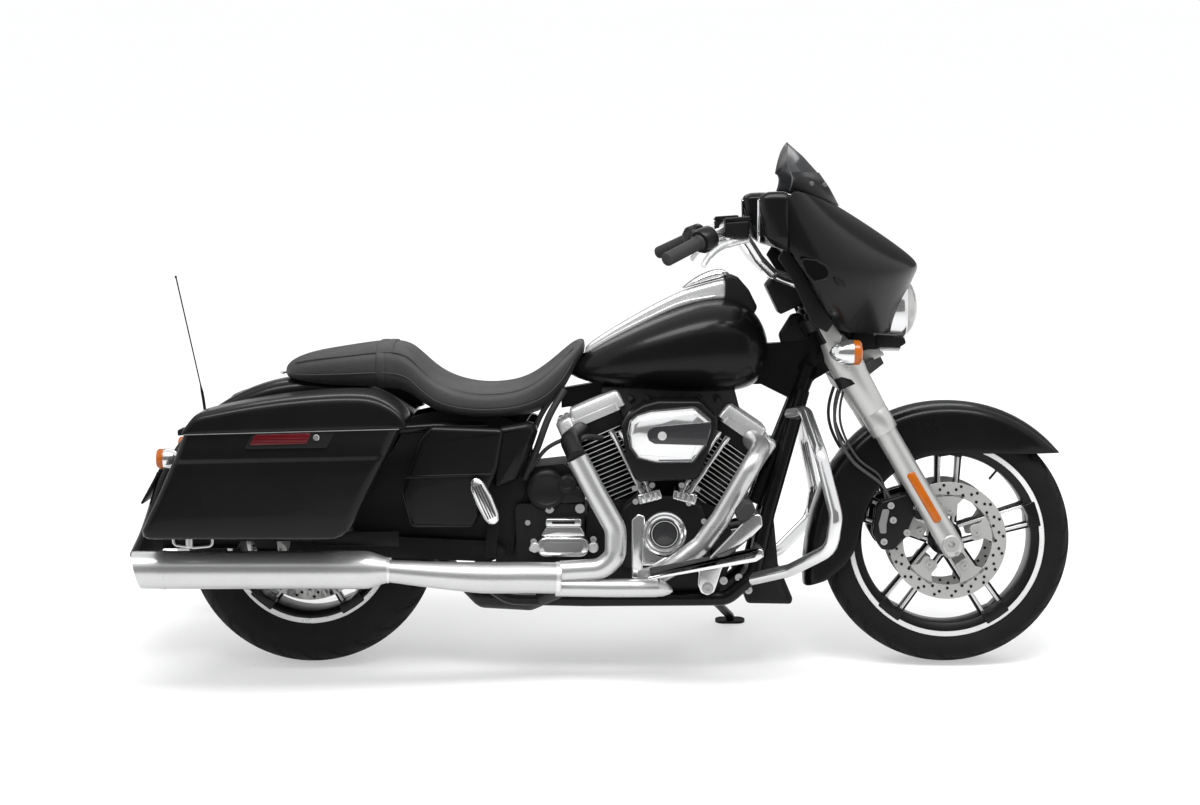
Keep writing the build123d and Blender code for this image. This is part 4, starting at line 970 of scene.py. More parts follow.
# ---- the workshop ------------------------------------------------------------
class Workshop:
    """Turns forms into finished pieces on the parked machine."""

    def __init__(self, frame: Mapping[str, object]) -> None:
        """Works out how the upright machine is parked from its rear wheel's joint.

        Args:
            frame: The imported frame, with its joints and nodes.
        """
        joint = next(j for j in frame["joints"] if j["name"] == "rear_wheel_spin")
        across = Vector(joint["axis"])
        lean = math.atan2(across.z, across.y)
        self.parked = (
            Matrix.Translation(joint["pos_m"])
            @ Matrix.Rotation(lean, 4, "X")
            @ Matrix.Scale(MM, 4)
            @ Matrix.Translation((0, 0, -AXLE_HEIGHT))
        )
        self.nodes = frame["nodes"]
        self.materials = {finish: finish.value.build() for finish in Finish}
        self.ring = ring_pattern()
        self.line = line_pattern()
        self.count = 0

    def make(
        self,
        name: str,
        form: Form,
        finish: Finish,
        body: Body,
        replaces: Sequence[str] = (),
        wall: float = 0.0,
        **look: object,
    ) -> bpy.types.Object:
        """Makes a piece of a form and hangs it on its body.

        Args:
            name: The piece's name.
            form: Its mesh, in the upright machine's millimetres.
            finish: Its finish.
            body: The body that carries it.
            replaces: The CAD nodes that it stands for.
            wall: Thickness given to an open skin, inwards.
            look: The slot, smooth and subdivide arguments of `hang`.
        Returns:
            The piece.
        """
        mesh = bpy.data.meshes.new(name)
        mesh.from_pydata([self.parked @ point for point in form.points], [], form.faces)
        work = bmesh.new()
        work.from_mesh(mesh)
        bmesh.ops.remove_doubles(work, verts=work.verts, dist=MERGE)
        bmesh.ops.dissolve_degenerate(work, edges=work.edges, dist=MERGE / 2)
        bmesh.ops.recalc_face_normals(work, faces=work.faces)
        if wall:
            self.face_outwards(work)
        work.to_mesh(mesh)
        work.free()
        return self.hang(name, mesh, finish, body, replaces, wall=wall, **look)

    @staticmethod
    def face_outwards(work: bmesh.types.BMesh) -> None:
        """Turns an open skin over where most of it faces its own middle.

        Args:
            work: The skin.
        """
        middle = sum((face.calc_center_median() for face in work.faces), Vector()) / len(work.faces)
        outward = sum(
            (face.calc_center_median() - middle).dot(face.normal) * face.calc_area() for face in work.faces
        )
        if outward < 0:
            bmesh.ops.reverse_faces(work, faces=work.faces)

    def hang(
        self,
        name: str,
        mesh: bpy.types.Mesh,
        finish: Finish,
        body: Body,
        replaces: Sequence[str] = (),
        slot: str = "",
        smooth: float = 40.0,
        subdivide: int = 0,
        wall: float = 0.0,
    ) -> bpy.types.Object:
        """Makes a piece of a mesh that already stands where the parked machine has it.

        Args:
            name: The piece's name.
            mesh: Its mesh, in metres.
            finish: Its finish.
            body: The body that carries it.
            replaces: The CAD nodes that it stands for.
            slot: The record's material slot; not used.
            smooth: The angle, in degrees, up to which faces shade as one.
            subdivide: Levels of subdivision.
            wall: Thickness given to an open skin, inwards.
        Returns:
            The piece.
        """
        mesh.materials.clear()
        mesh.materials.append(self.materials[finish])
        mesh.shade_smooth()
        if not subdivide:
            mesh.set_sharp_from_angle(angle=math.radians(smooth))
        piece = linked(name, mesh)
        if wall:
            shell = piece.modifiers.new("wall", "SOLIDIFY")
            shell.thickness = wall * MM
            shell.offset = -1.0
        if subdivide:
            softened = piece.modifiers.new("smooth", "SUBSURF")
            softened.levels = softened.render_levels = subdivide
        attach(piece, body.value)
        if replaces:
            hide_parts(*replaces)
        self.count += 1
        LOG.info("%s: %d faces on %s", name, len(mesh.polygons), body.value)
        return piece

    def paint(self, finish: Finish, *nodes: str) -> None:
        """Gives CAD nodes that keep their shape a finish.

        Args:
            finish: The finish.
            nodes: The nodes' names.
        """
        for name in nodes:
            materials = self.nodes[name].data.materials
            materials.clear()
            materials.append(self.materials[finish])
            LOG.info("%s: kept, in %s", name, finish.value.name)

    def repeat(
        self,
        name: str,
        pattern: Pattern,
        form: Form,
        values: Mapping[str, object],
        place: Matrix,
        finish: Finish,
        body: Body,
        **look: object,
    ) -> bpy.types.Object:
        """Makes a piece of a stamp repeated by a pattern.

        Args:
            name: The piece's name.
            pattern: The pattern.
            form: The stamp, in millimetres about its own origin.
            values: The pattern's own inputs, lengths in metres.
            place: Where the pattern's origin lies on the upright machine.
            finish: Its finish.
            body: The body that carries it.
            look: The slot and smooth arguments of `hang`.
        Returns:
            The piece.
        """
        plain = bpy.data.meshes.new("stamp")
        plain.from_pydata([point * MM for point in form.points], [], form.faces)
        stamp = linked("stamp", plain)
        mesh = pattern.made({"Stamp": stamp, "Finish": self.materials[finish], **values})
        bpy.data.objects.remove(stamp)
        mesh.transform(self.parked @ place @ Matrix.Scale(1 / MM, 4))
        return self.hang(name, mesh, finish, body, **look)


@dataclass(frozen=True)
class Assembly:
    """A sub-assembly that hangs its pieces on one body."""

    shop: Workshop
    body: Body

    def add(
        self, name: str, form: Form, finish: Finish, *nodes: str, body: Body | None = None, **look: object
    ) -> bpy.types.Object:
        """Makes a piece of a form.

        Args:
            name: The piece's name.
            form: Its mesh.
            finish: Its finish.
            nodes: The CAD nodes that it stands for.
            body: The body that carries it, where it isn't the assembly's own.
            look: The slot, smooth, subdivide and wall arguments of `Workshop.make`.
        Returns:
            The piece.
        """
        return self.shop.make(name, form, finish, body or self.body, nodes, **look)

    def pair(self, name: str, form: Form, finish: Finish, *nodes: str, **look: object) -> bpy.types.Object:
        """Makes a piece of a form and its mirror image; the arguments are those of `add`."""
        return self.add(name, form.both_sides(), finish, *nodes, **look)


# ---- wheels ------------------------------------------------------------------
@dataclass(frozen=True)
class Wheel(Assembly):
    """A tyre on a cast rim with paired spokes."""

    name: str
    x: float
    width: float
    seat: float
    inner: float
    hub_half: float
    first_spoke: float
    disc_outs: tuple[float, ...]
    radius: float = 320.0
    crown_drop: float = 0.19  # of the width
    rim_inset: float = 12.0
    spokes: int = 5
    spread: float = 54.0
    blocks: int = 26
    groove_depth: float = 5.0
    steps: int = 640
    hole_count: int = 20

    def centre(self) -> Point:
        """The wheel's middle."""
        return (self.x, 0.0, AXLE_HEIGHT)

    def section(self) -> list[Flat]:
        """The tyre's outer section from bead to bead, as (across, radius), finest at the tread.

        Returns:
            The section's points.
        """
        half, bead = self.width / 2, self.width / 2 - 11.0
        shoulder = self.radius - self.crown_drop * self.width
        flange = self.seat + 13.0
        wall = [
            (-bead, flange),
            (-half * 0.985, flange + (shoulder - flange) * 0.35),
            (-half, flange + (shoulder - flange) * 0.66),
            (-half * 0.975, shoulder - 3),
        ]
        crown = []
        rows, bow = 26, 0.86
        for row in range(rows + 1):
            across = -1 + 2 * row / rows
            drop = (1 - math.sqrt(1 - (across * bow) ** 2)) / (1 - math.sqrt(1 - bow**2))
            crown.append((across * half * 0.955, self.radius - drop * self.crown_drop * self.width))
        return wall + crown + [(-across, radius) for across, radius in reversed(wall)]

    def groove(self, across: float, angle: float) -> float:
        """How deep the tread is cut at a place.

        Args:
            across: The place's distance from the wheel's middle plane.
            angle: Its direction in the side view, in radians.
        Returns:
            The cut, from 0 to 1.
        """
        share = abs(across) / (self.width / 2)
        if share < 0.045 or share > 1.0:
            return 0.0
        side = 1 if across > 0 else -1
        turn = angle / math.tau * self.blocks + side * 0.25
        slant = (turn + share * 1.15) % 1.0
        if slant < 0.13 and 0.16 < share:
            return 1.0
        short = (turn + 0.5 + share * 1.5) % 1.0
        return 0.8 if short < 0.1 and 0.42 < share < 0.8 else 0.0

    def tyre(self) -> Form:
        """The tyre's skin, with its tread cut in.

        Returns:
            The skin.
        """
        inside, lip = self.seat + 4, self.width / 2 - 14
        profile = [*self.section(), (lip, inside), (-lip, inside)]
        tread = self.radius - 0.2 * self.width
        rings = []
        for step in range(self.steps):
            angle = math.tau * step / self.steps
            ring = []
            for across, radius in profile:
                cut = self.groove(across, angle) if radius > tread else 0.0
                reach = radius - cut * self.groove_depth
                ring.append(Vector((reach * math.cos(angle), across, reach * math.sin(angle))))
            rings.append(ring)
        return loft(rings, closed=True).moved(*self.centre())

    def barrel(self) -> Form:
        """The rim's drop-centre barrel between its two edges.

        Returns:
            The barrel.
        """
        edge = self.width / 2 - self.rim_inset
        profile = [
            (-edge, self.seat + 11), (-edge, self.seat - 9), (-edge + 9, self.inner + 2),
            (-edge + 16, self.inner), (edge - 16, self.inner), (edge - 9, self.inner + 2),
            (edge, self.seat - 9), (edge, self.seat + 11), (edge - 6, self.seat + 11),
            (edge - 8, self.inner + 12), (8 - edge, self.inner + 12), (6 - edge, self.seat + 11),
        ]
        return lathe(profile, self.centre(), (0, 1, 0), 160, closed=True)

    def flange(self) -> Form:
        """The bright machined ring on each face of the rim.

        Returns:
            Both rings.
        """
        edge = self.width / 2 - self.rim_inset
        low, high = self.seat - 4.0, self.seat + 9.5
        profile = [
            (edge - 1, low), (edge + 1.2, low + 1), (edge + 2.4, high - 1), (edge + 1, high),
            (edge - 1, high)
        ]
        ring = lathe(profile, self.centre(), (0, 1, 0), 160, closed=True)
        return ring + lathe([(-a, r) for a, r in profile], self.centre(), (0, 1, 0), 160, closed=True)

    def angles(self) -> list[float]:
        """The spoke pairs' directions in the side view, in radians."""
        return [math.radians(self.first_spoke + 360.0 * pair / self.spokes) for pair in range(self.spokes)]

    def on_spoke(self, form: Form, angle: float) -> Form:
        """A form drawn along X from the axle, turned to a spoke's direction."""
        return form.placed(Matrix.Translation(self.centre()) @ Matrix.Rotation(-angle, 4, "Y"))

    def spoke(self, offset: float, bright: bool) -> Form:
        """One spoke of a pair, drawn along X from the axle.

        Args:
            offset: Its place beside the pair's middle.
            bright: Whether it is the machined stripe on the right face, or else the black web.
        Returns:
            The spoke.
        """
        start, end = 40.0, self.inner + 6
        rings = []
        for share in (0.0, 0.12, 0.45, 0.85, 1.0):
            run = start + (end - start) * share
            half = 8.5 - 1.5 * math.sin(math.pi * share)
            deep = 15.0 + 8 * share
            side = offset * (0.8 + 0.2 * share)
            if bright:
                side += math.copysign(2.5, -offset)
                face = [(-3.6, 0.2), (-2.4, 1.2), (2.4, 1.2), (3.6, 0.2)]
                ring = [Vector((run, -(deep + lift), side + up)) for up, lift in face]
                ring += [Vector((run, -(deep - 2), side + 3.6)), Vector((run, -(deep - 2), side - 3.6))]
            else:
                ring = [Vector((run, y, side + z)) for y, z in swollen(deep, -half, half, 4.0, 16)]
            rings.append(ring)
        return loft(rings)

    def pad(self) -> Form:
        """The black block that joins a pair of spokes to the rim, across the bright ring.

        Returns:
            The block on the right face.
        """
        half = self.spread / 2 + 7.0
        edge = self.width / 2 - self.rim_inset
        low, high = self.inner - 6, self.seat + 1.0
        outline = [
            (low, -half + 4), (high, -half), (high + 1.5, 0), (high, half), (low, half - 4), (low + 6, 0)
        ]
        return stack(rounded(outline, 5), soft_layers(6.0, edge + 3.6, 4.0)).placed(SIDEWAYS)

    def hub(self) -> Form:
        """The hub, with a stepped end on each side.

        Returns:
            The hub.
        """
        profile = [
            (-self.hub_half, 14), (-self.hub_half, 27), (3 - self.hub_half, 30), (-24, 34), (-20, 44),
            (20, 44), (24, 34), (self.hub_half - 3, 30), (self.hub_half, 27), (self.hub_half, 14),
        ]
        return lathe(profile, self.centre(), (0, 1, 0), 48, closed=True)

    def disc(self, out: float) -> Form:
        """A brake disc with an arm to each pair of spokes.

        Args:
            out: How far out the disc's near face lies.
        Returns:
            The disc.
        """
        edge = [(0, 113.5), (0, 149.2), (0.8, 150), (4.2, 150), (5, 149.2), (5, 113.5)]
        ring = lathe(edge, (self.x, -out, AXLE_HEIGHT), (0, 1, 0), 120, closed=True)
        arms = Form()
        for angle in self.angles():
            outline = [
                (62, -17), (70, -21), (92, -20), (114.5, -41), (118, -30), (118, 30), (114.5, 41), (92, 20),
                (70, 21), (62, 17)
            ]
            arm = stack(rounded(outline, 9), [(out - 4.6, 0.6), (out - 4.0, 0), (out - 0.6, 0), (out, 0.6)])
            arms += self.on_spoke(arm.placed(SIDEWAYS), angle)
        return ring + arms

    def rim(self) -> None:
        """The tyre, the rim's black casting and its machined faces."""
        node = f"{self.name}_rim"
        self.add(f"{self.name}_tyre_skin", self.tyre(), Finish.TREAD, f"{self.name}_tyre", smooth=32)
        webs, edges, pads = Form(), Form(), Form()
        for angle in self.angles():
            for offset in (-self.spread / 2, self.spread / 2):
                webs += self.on_spoke(self.spoke(offset, False), angle)
                edges += self.on_spoke(self.spoke(offset, True).both_sides(), angle)
            pads += self.on_spoke(self.pad().both_sides(), angle)
        self.add(f"{node}_black", self.barrel() + webs + pads + self.hub(), Finish.SATIN, node, smooth=38)
        self.add(f"{node}_bright", self.flange() + edges, Finish.MACHINED, slot=node)

    def holes(self, out: float) -> None:
        """The drilled holes of a disc, as flat dark wells on both its faces: painted shade standing in for
        the open holes.

        Args:
            out: How far out the disc's near face lies.
        """
        # each hole is a flat black cup on the disc's face, not an opening: painted shade
        hole = lathe([(0, 0.01), (0, 3.6), (0.5, 3.9), (0.7, 3.9)], (0, 0, 0), (0, 0, 1), 10)
        for radius, start in ((122, 0.0), (132, 0.16), (142, 0.08)):
            values = {"Count": self.hole_count, "Radius": radius * MM, "Start": start}
            for side, face, turn in (("out", out + 0.25, 90), ("in", out - 5.25, -90)):
                name = f"{self.name}_disc_holes_{int(out)}_{radius}_{side}"
                place = Matrix.Translation((self.x, -face, AXLE_HEIGHT))
                place @= Matrix.Rotation(math.radians(turn), 4, "X")
                slot = f"{self.name}_rim"
                self.shop.repeat(
                    name, self.shop.ring, hole, values, place, Finish.SATIN, self.body, slot=slot
                )

    def brakes(self) -> None:
        """The brake discs with their bolts."""
        discs, bolts = Form(), Form()
        for out in self.disc_outs:
            self.holes(out)
            discs += self.disc(out)
            lug = bolt(76, abs(out), 0, 7.5)
            for angle in self.angles():
                bolts += self.on_spoke(lug if out > 0 else lug.mirrored(), angle)
        if self.body is Body.FRONT_WHEEL:
            node = "front_discs"
            self.add("front_disc_pair", discs, Finish.DISC, node, smooth=30)
        else:
            node = "rear_disc_and_pulley"
            self.add("rear_disc_plate", discs, Finish.DISC, slot=node, smooth=30)
            self.shop.paint(Finish.DISC, node)
        self.add(f"{self.name}_disc_bolts", bolts, Finish.STEEL, slot=node)

    def build(self) -> None:
        """Makes the wheel's pieces."""
        self.rim()
        self.brakes()
        valve = self.on_spoke(
            bar((self.inner - 28, 8, 0), (self.inner + 4, 2, 0), 3.2, 12), math.radians(52)
        )
        self.add(f"{self.name}_valve", valve, Finish.RUBBER, slot=f"{self.name}_rim")


# ---- front end ---------------------------------------------------------------
# The fairing's left half, as columns of points from the wing tip to the middle.
FAIRING_HALF = [
    [
        (1194, 366, 1205), (1187, 378, 1128), (1194, 375, 1066), (1222, 362, 1028),
        (1246, 338, 990), (1274, 294, 944), (1306, 230, 890)
    ],
    [
        (1217, 352, 1212), (1234, 371, 1130), (1252, 371, 1056), (1266, 358, 1014),
        (1280, 332, 976), (1298, 284, 926), (1320, 214, 868)
    ],
    [
        (1257, 302, 1201), (1296, 328, 1122), (1324, 334, 1048), (1330, 325, 1006),
        (1332, 306, 972), (1336, 262, 924), (1344, 190, 854)
    ],
    [
        (1296, 230, 1187), (1362, 252, 1112), (1408, 262, 1036), (1414, 259, 1004),
        (1408, 250, 974), (1396, 226, 926), (1376, 172, 849)
    ],
    [
        (1322, 150, 1177), (1414, 162, 1107), (1482, 172, 1038), (1495, 174, 1011),
        (1482, 172, 984), (1460, 162, 932), (1428, 132, 846)
    ],
    [
        (1334, 72, 1175), (1436, 78, 1110), (1526, 84, 1044), (1546, 86, 1017), (1532, 86, 992),
        (1510, 84, 938), (1480, 74, 846)
    ],
    [
        (1338, 0, 1176), (1440, 0, 1112), (1536, 0, 1046), (1558, 0, 1019), (1544, 0, 996),
        (1522, 0, 940), (1494, 0, 848)
    ],
]


@dataclass(frozen=True)
class FrontEnd(Assembly):
    """The fork with everything that steers."""

    fork_angle: float = 30.5
    fork_half: float = 121.0
    fender_half: float = 85.0
    screen_band: float = 1244.0
    screen_bow: Vector = field(default_factory=lambda: Vector((9.0, 0.0, 9.0)))
    bar_elbow: Point = (1015.0, -320.0, 1100.0)
    bar_end: Point = (903.0, -436.0, 1045.0)
    x: float = WHEELBASE

    def ahead(self, *places: Flat) -> list[Flat]:
        """Places in the side view whose X is measured from the front axle."""
        return [(self.x + x, z) for x, z in places]

    def leg(self, run: float, out: float | None = None) -> Point:
        """A point beside a fork leg.

        Args:
            run: How far up the leg it is from the axle.
            out: How far out it is, by default the leg's middle.
        Returns:
            The point.
        """
        lean = math.radians(self.fork_angle)
        side = self.fork_half if out is None else out
        return (self.x - run * math.sin(lean), -side, AXLE_HEIGHT + run * math.cos(lean))

    def run_to(self, height: float) -> float:
        """How far up the leg a height lies."""
        return (height - AXLE_HEIGHT) / math.cos(math.radians(self.fork_angle))

    def turned_leg(self, profile: Sequence[Flat], steps: int = 40) -> Form:
        """A form turned about the right leg.

        Args:
            profile: Its profile, as (run up the leg, radius).
            steps: Points around it.
        Returns:
            The form.
        """
        axis = Vector(self.leg(1)) - Vector(self.leg(0))
        return lathe(profile, self.leg(0), tuple(axis), steps)

    def sliders(self) -> None:
        """The sliders, with the axle and the bosses that hold it."""
        low = self.run_to(600)
        slider = [
            (-34, 0), (-34, 20), (-30, 26), (-22, 29), (40, 30), (46, 29), (low - 4, 29), (low, 30),
            (low + 4, 30)
        ]
        forms = self.turned_leg(slider)
        boss = lathe(
            [(0, 8.6), (0, 20), (3, 23), (26, 23), (26, 0)], (self.x, -158, AXLE_HEIGHT), (0, 1, 0), 36
        )
        hollow = lathe([(0.2, 8.6), (24, 8.4), (24, 0)], (self.x, -158, AXLE_HEIGHT), (0, 1, 0), 36)
        axle = bar((self.x, -130, AXLE_HEIGHT), (self.x, 130, AXLE_HEIGHT), 12.2)
        pinch = bar(self.leg(-28, 150), self.leg(-28, 96), 7)
        forms = (forms + boss + hollow + pinch).both_sides() + axle
        self.add("fork_slider_pair", forms, Finish.SILVER, "fork_sliders")

    def covers(self) -> None:
        """The covers above the sliders, with their brackets, screws, caps and reflectors."""
        low, split, top = self.run_to(600), self.run_to(836), self.run_to(930)
        collar = [
            (low + 2, 0), (low + 2, 33), (low + 5, 35), (low + 58, 35.5), (low + 60, 34.5),
            (low + 62, 34.5), (low + 64, 36)
        ]
        shroud = [(740, 40), (758, 43.5), (800, 43.5), (814, 37), (834, 32)]
        cover = self.turned_leg([
            *collar, *((self.run_to(z), radius) for z, radius in shroud), (split, 30), (split, 0)
        ])
        self.pair("fork_cover_pair", cover, Finish.SILVER, "fork_covers")
        upper = self.turned_leg([
            (split, 0), (split, 29.5), (top - 26, 29.5), (top - 22, 28), (top - 20, 24), (top - 20, 0)
        ])
        self.pair("fork_upper_pair", upper, Finish.SATIN, slot="fork_covers")
        strap = [(1262, 912), (1264, 926), (1276, 932), (1288, 922), (1346, 846), (1334, 812), (1312, 820)]
        self.pair("fork_bracket_pair", panel(strap, 146, 154, 2, 6), Finish.SILVER, slot="fork_covers")
        self.pair("fork_bracket_bolts", bolt(1276, 154, 919, 6.5, 5), Finish.STEEL, slot="fork_covers")
        cap = self.turned_leg(
            [(top - 20, 0), (top - 20, 22), (top - 4, 21), (top, 17), (top, 8), (top - 4, 7), (top - 4, 0)],
            30
        )
        dots = Form()
        for height in (784, 768):
            run = self.run_to(height)
            dots += bar(self.leg(run, 158), self.leg(run, 166.5), 5, 16)
        self.pair("fork_screws", dots, Finish.STEEL, slot="fork_covers")
        self.pair("fork_caps", cap, Finish.SATIN, slot="fork_covers")
        foot, head = self.run_to(376), self.run_to(500)
        shares = (0, 0.01, 0.04, 0.5, 0.96, 0.99, 1)
        route = [Vector(self.leg(foot + (head - foot) * share, 149)) for share in shares]
        marks = tube(route, [6.0, 8.5, 11, 11, 11, 8.5, 6.0]).squeezed(-149, 0.42)
        self.pair("fork_reflectors", marks, Finish.AMBER, slot="front_turn_signals")
        self.shop.paint(Finish.SATIN, "triple_clamps")

    def fender(self) -> None:
        """The front fender: a deep-skirted arch with a pointed tip."""
        rails = [
            # angle, crest, skirt
            (37.5, 366.0, 363.0), (42.0, 366.0, 330.3), (48.0, 365.0, 297.4), (56.0, 363.5, 266.6),
            (66.0, 361.5, 241.9), (78.0, 358.5, 225.9), (92.0, 357.0, 221.1), (106.0, 358.5, 222.0),
            (120.0, 359.5, 222.0), (135.0, 357.0, 222.0), (150.0, 353.5, 222.0), (163.0, 352.5, 222.0),
            (176.0, 358.0, 224.0), (187.0, 368.0, 236.0), (194.0, 378.0, 268.0), (198.5, 384.0, 326.0),
        ]
        rings = []
        for degrees, crest, skirt in rails:
            angle = math.radians(degrees)
            tall = crest - skirt
            taper = min(1.0, 0.55 + tall / 120.0)
            half = self.fender_half * taper
            edge = min(34.0, tall * 0.8)
            section = [
                (half * 0.985, skirt), (half, skirt + (tall - edge) * 0.5), (half * 0.995, crest - edge),
                (half * 0.93, crest - edge * 0.52), (half * 0.74, crest - edge * 0.22),
                (half * 0.42, crest - edge * 0.06), (0.0, crest),
            ]
            ring = []
            for y, r in reflected(section):
                ring.append(Vector((self.x + r * math.cos(angle), y, AXLE_HEIGHT + r * math.sin(angle))))
            rings.append(ring)
        skin = loft(rings, around=False, capped=False)
        self.add("front_fender_skin", skin, Finish.PAINT, "front_fender", subdivide=2, wall=2.5)
        bolts = gather(bolt(*self.at_fender(a, r), 5.0, 4.0) for a, r in ((96, 300), (101, 300)))
        mount = bar(self.leg(self.run_to(540), 84), self.leg(self.run_to(540), 100), 14)
        self.pair("fender_bolts", bolts + mount, Finish.SATIN, slot="front_fender")

    def at_fender(self, degrees: float, radius: float) -> Point:
        """A place on the fender's right skirt.

        Args:
            degrees: Its direction from the axle in the side view.
            radius: Its distance from the axle.
        Returns:
            The place, as x, out and z.
        """
        x, z = radius * math.cos(math.radians(degrees)), radius * math.sin(math.radians(degrees))
        return (self.x + x, self.fender_half - 0.5, AXLE_HEIGHT + z)

    def calipers(self) -> None:
        """Four-piston brake calipers behind the legs."""
        outline = self.ahead(
            (-186, 402), (-170, 424), (-120, 440), (-96, 446), (-74, 418), (-96, 372), (-112, 330),
            (-140, 300), (-172, 300), (-194, 340)
        )
        body, inner = panel(outline, 84, 112, 6, 14), panel(outline, 52, 70, 4, 14)
        bridge = panel(self.ahead((-180, 330), (-172, 402), (-150, 398), (-156, 330)), 60, 100, 2, 6)
        ear = self.ahead((-96, 452), (-88, 478), (-62, 466), (-40, 402), (-60, 376), (-88, 380))
        lug = panel(ear, 98, 118, 3, 8)
        self.pair("caliper_bodies", body + inner + bridge + lug, Finish.SATIN, "front_calipers")
        pane = self.ahead((-176, 342), (-180, 366), (-170, 404), (-152, 404), (-160, 366), (-160, 342))
        self.pair("caliper_windows", panel(pane, 110, 113.5, 1.2, 5), Finish.INLAY, slot="front_calipers")
        spots = (
            (-143, 376, 112), (-149, 413, 112), (-166, 321, 112), (-80, 462, 118), (-66, 396, 118),
            (-84, 408, 112), (-108, 344, 112)
        )
        bolts = gather(bolt(self.x + x, out, z, 6.5, 6.0) for x, z, out in spots)
        self.pair("caliper_bolts", bolts, Finish.STEEL, slot="front_calipers")
        hose = [
            (-232, -76, 789), (-280, -82, 700), (-290, -100, 615), (-250, -112, 530), (-176, -100, 470),
            (-150, -98, 430)
        ]
        lines = tube(flowing([(self.x + x, y, z) for x, y, z in hose]), 4.3, 12)
        beside = [(x + 14, y + 12, z + 6) for x, y, z in hose[:-2]] + [(-176, -92, 486), (-160, -94, 428)]
        second = tube(flowing([(self.x + x, y, z) for x, y, z in beside]), 3.2, 12)
        self.pair("brake_hoses", lines + second, Finish.BRAID, slot="front_calipers")

    def fairing(self) -> None:
        """The wing-shaped fairing with its vents and the dents ahead of them."""
        skin = whole(FAIRING_HALF)
        self.add("fairing_shell", skin, Finish.PAINT, "fairing_outer", subdivide=3, wall=4.5)
        self.shop.paint(Finish.MOULDING, "fairing_inner")
        slot = [
            (1222, 1044), (1262, 1040), (1290, 1024), (1297, 1008), (1288, 992), (1258, 987), (1240, 1006)
        ]
        lean = (1236, 1036, 0.5, 0.25)
        # the vents are near-black panels: painted shade for the dark inside of the openings
        vent = panel(slot, 330, 377, 3, 9).leaned(*lean)
        self.pair("fairing_vents", vent, Finish.DUCT, slot="fairing_inner")
        rim = [Vector((x, -376.0, z)) for x, z in rounded(slot, 9)]
        lips = tube([*rim, rim[0], rim[1]], 2.2, 8).leaned(*lean)
        self.pair("fairing_vent_lips", lips, Finish.PAINT, slot="fairing_inner")
        dent = panel([(1306, 1000), (1340, 982), (1346, 970), (1322, 976)], 300, 338, 2, 4)
        self.pair(
            "fairing_dents", dent.leaned(1304, 1004, 0.45, 0.3), Finish.MOULDING, slot="fairing_inner"
        )

    def bulging(self, low: Vector, high: Vector, shares: Iterable[float]) -> list[Vector]:
        """Places up the screen from its foot to its brow, bowed forwards between them.

        Args:
            low: The place at its foot.
            high: The place at its brow.
            shares: How far up each place is.
        Returns:
            The places.
        """
        return [low.lerp(high, share) + self.screen_bow * (4 * share * (1 - share)) for share in shares]

    def screen(self) -> None:
        """The screen, the band along its foot and its screws."""
        foot = flowing(
            [(1206, 254, 1210), (1252, 232, 1200), (1304, 176, 1184), (1336, 92, 1172), (1344, 0, 1168)], 5
        )
        brow = flowing(
            [(1200, 232, 1258), (1204, 196, 1284), (1208, 140, 1308), (1213, 74, 1326), (1215, 0, 1333)], 5
        )
        columns, band = [], []
        for low, high in zip(foot, brow):
            columns.append(self.bulging(low, high, (0, 0.15, 0.3, 0.5, 0.75, 1)))
            share = min(0.97, (self.screen_band - low.z) / (high.z - low.z))
            rows = self.bulging(low, high, (0, share * 0.5, share))
            band.append([place + Vector((3.0, 0, 1.5)) for place in rows])
        self.add("screen_sheet", whole(columns), Finish.SCREEN, "windshield", wall=3.5)
        self.add("screen_trim", whole(band), Finish.MOULDING, slot="windshield", wall=3.0)
        spots = ((1262, -212, 1226), (1300, -150, 1224))
        lugs = gather(bolt(x, 0, 0, 4.5, 4).moved(0, y, z) for x, y, z in spots)
        self.pair("screen_screws", lugs, Finish.CHROME, slot="windshield")

    def headlight(self) -> None:
        """The headlight: its ring, lens, bowl and bulbs."""
        x, z = self.x - 150, 912.0
        rim = [(-40, 60), (-40, 90), (12, 92), (30, 91), (40, 88), (44, 84), (40, 80), (30, 78)]
        ring = lathe(rim, (x, 0, z), (1, 0, 0), 72, closed=True)
        self.add("headlight_ring", ring, Finish.CHROME, slot="headlight")
        dome = [(30, 80), (46, 74), (60, 58), (70, 36), (74.5, 14), (75, 0)]
        self.add("headlight_lens", lathe(dome, (x, 0, z), (1, 0, 0), 72), Finish.CLEAR, "headlight")
        bowl = [(28, 78), (20, 70), (4, 50), (-6, 26), (-8, 0)]
        self.add("headlight_bowl", lathe(bowl, (x, 0, z), (1, 0, 0), 48), Finish.MIRROR, slot="headlight")
        bulb = [(-6, 18), (16, 20), (26, 16), (30, 0)]
        bulbs = gather(lathe(bulb, (x, side * 34, z - 6), (1, 0, 0), 24) for side in (-1, 1))
        self.add("headlight_bulbs", bulbs, Finish.DULL_CHROME, slot="headlight")

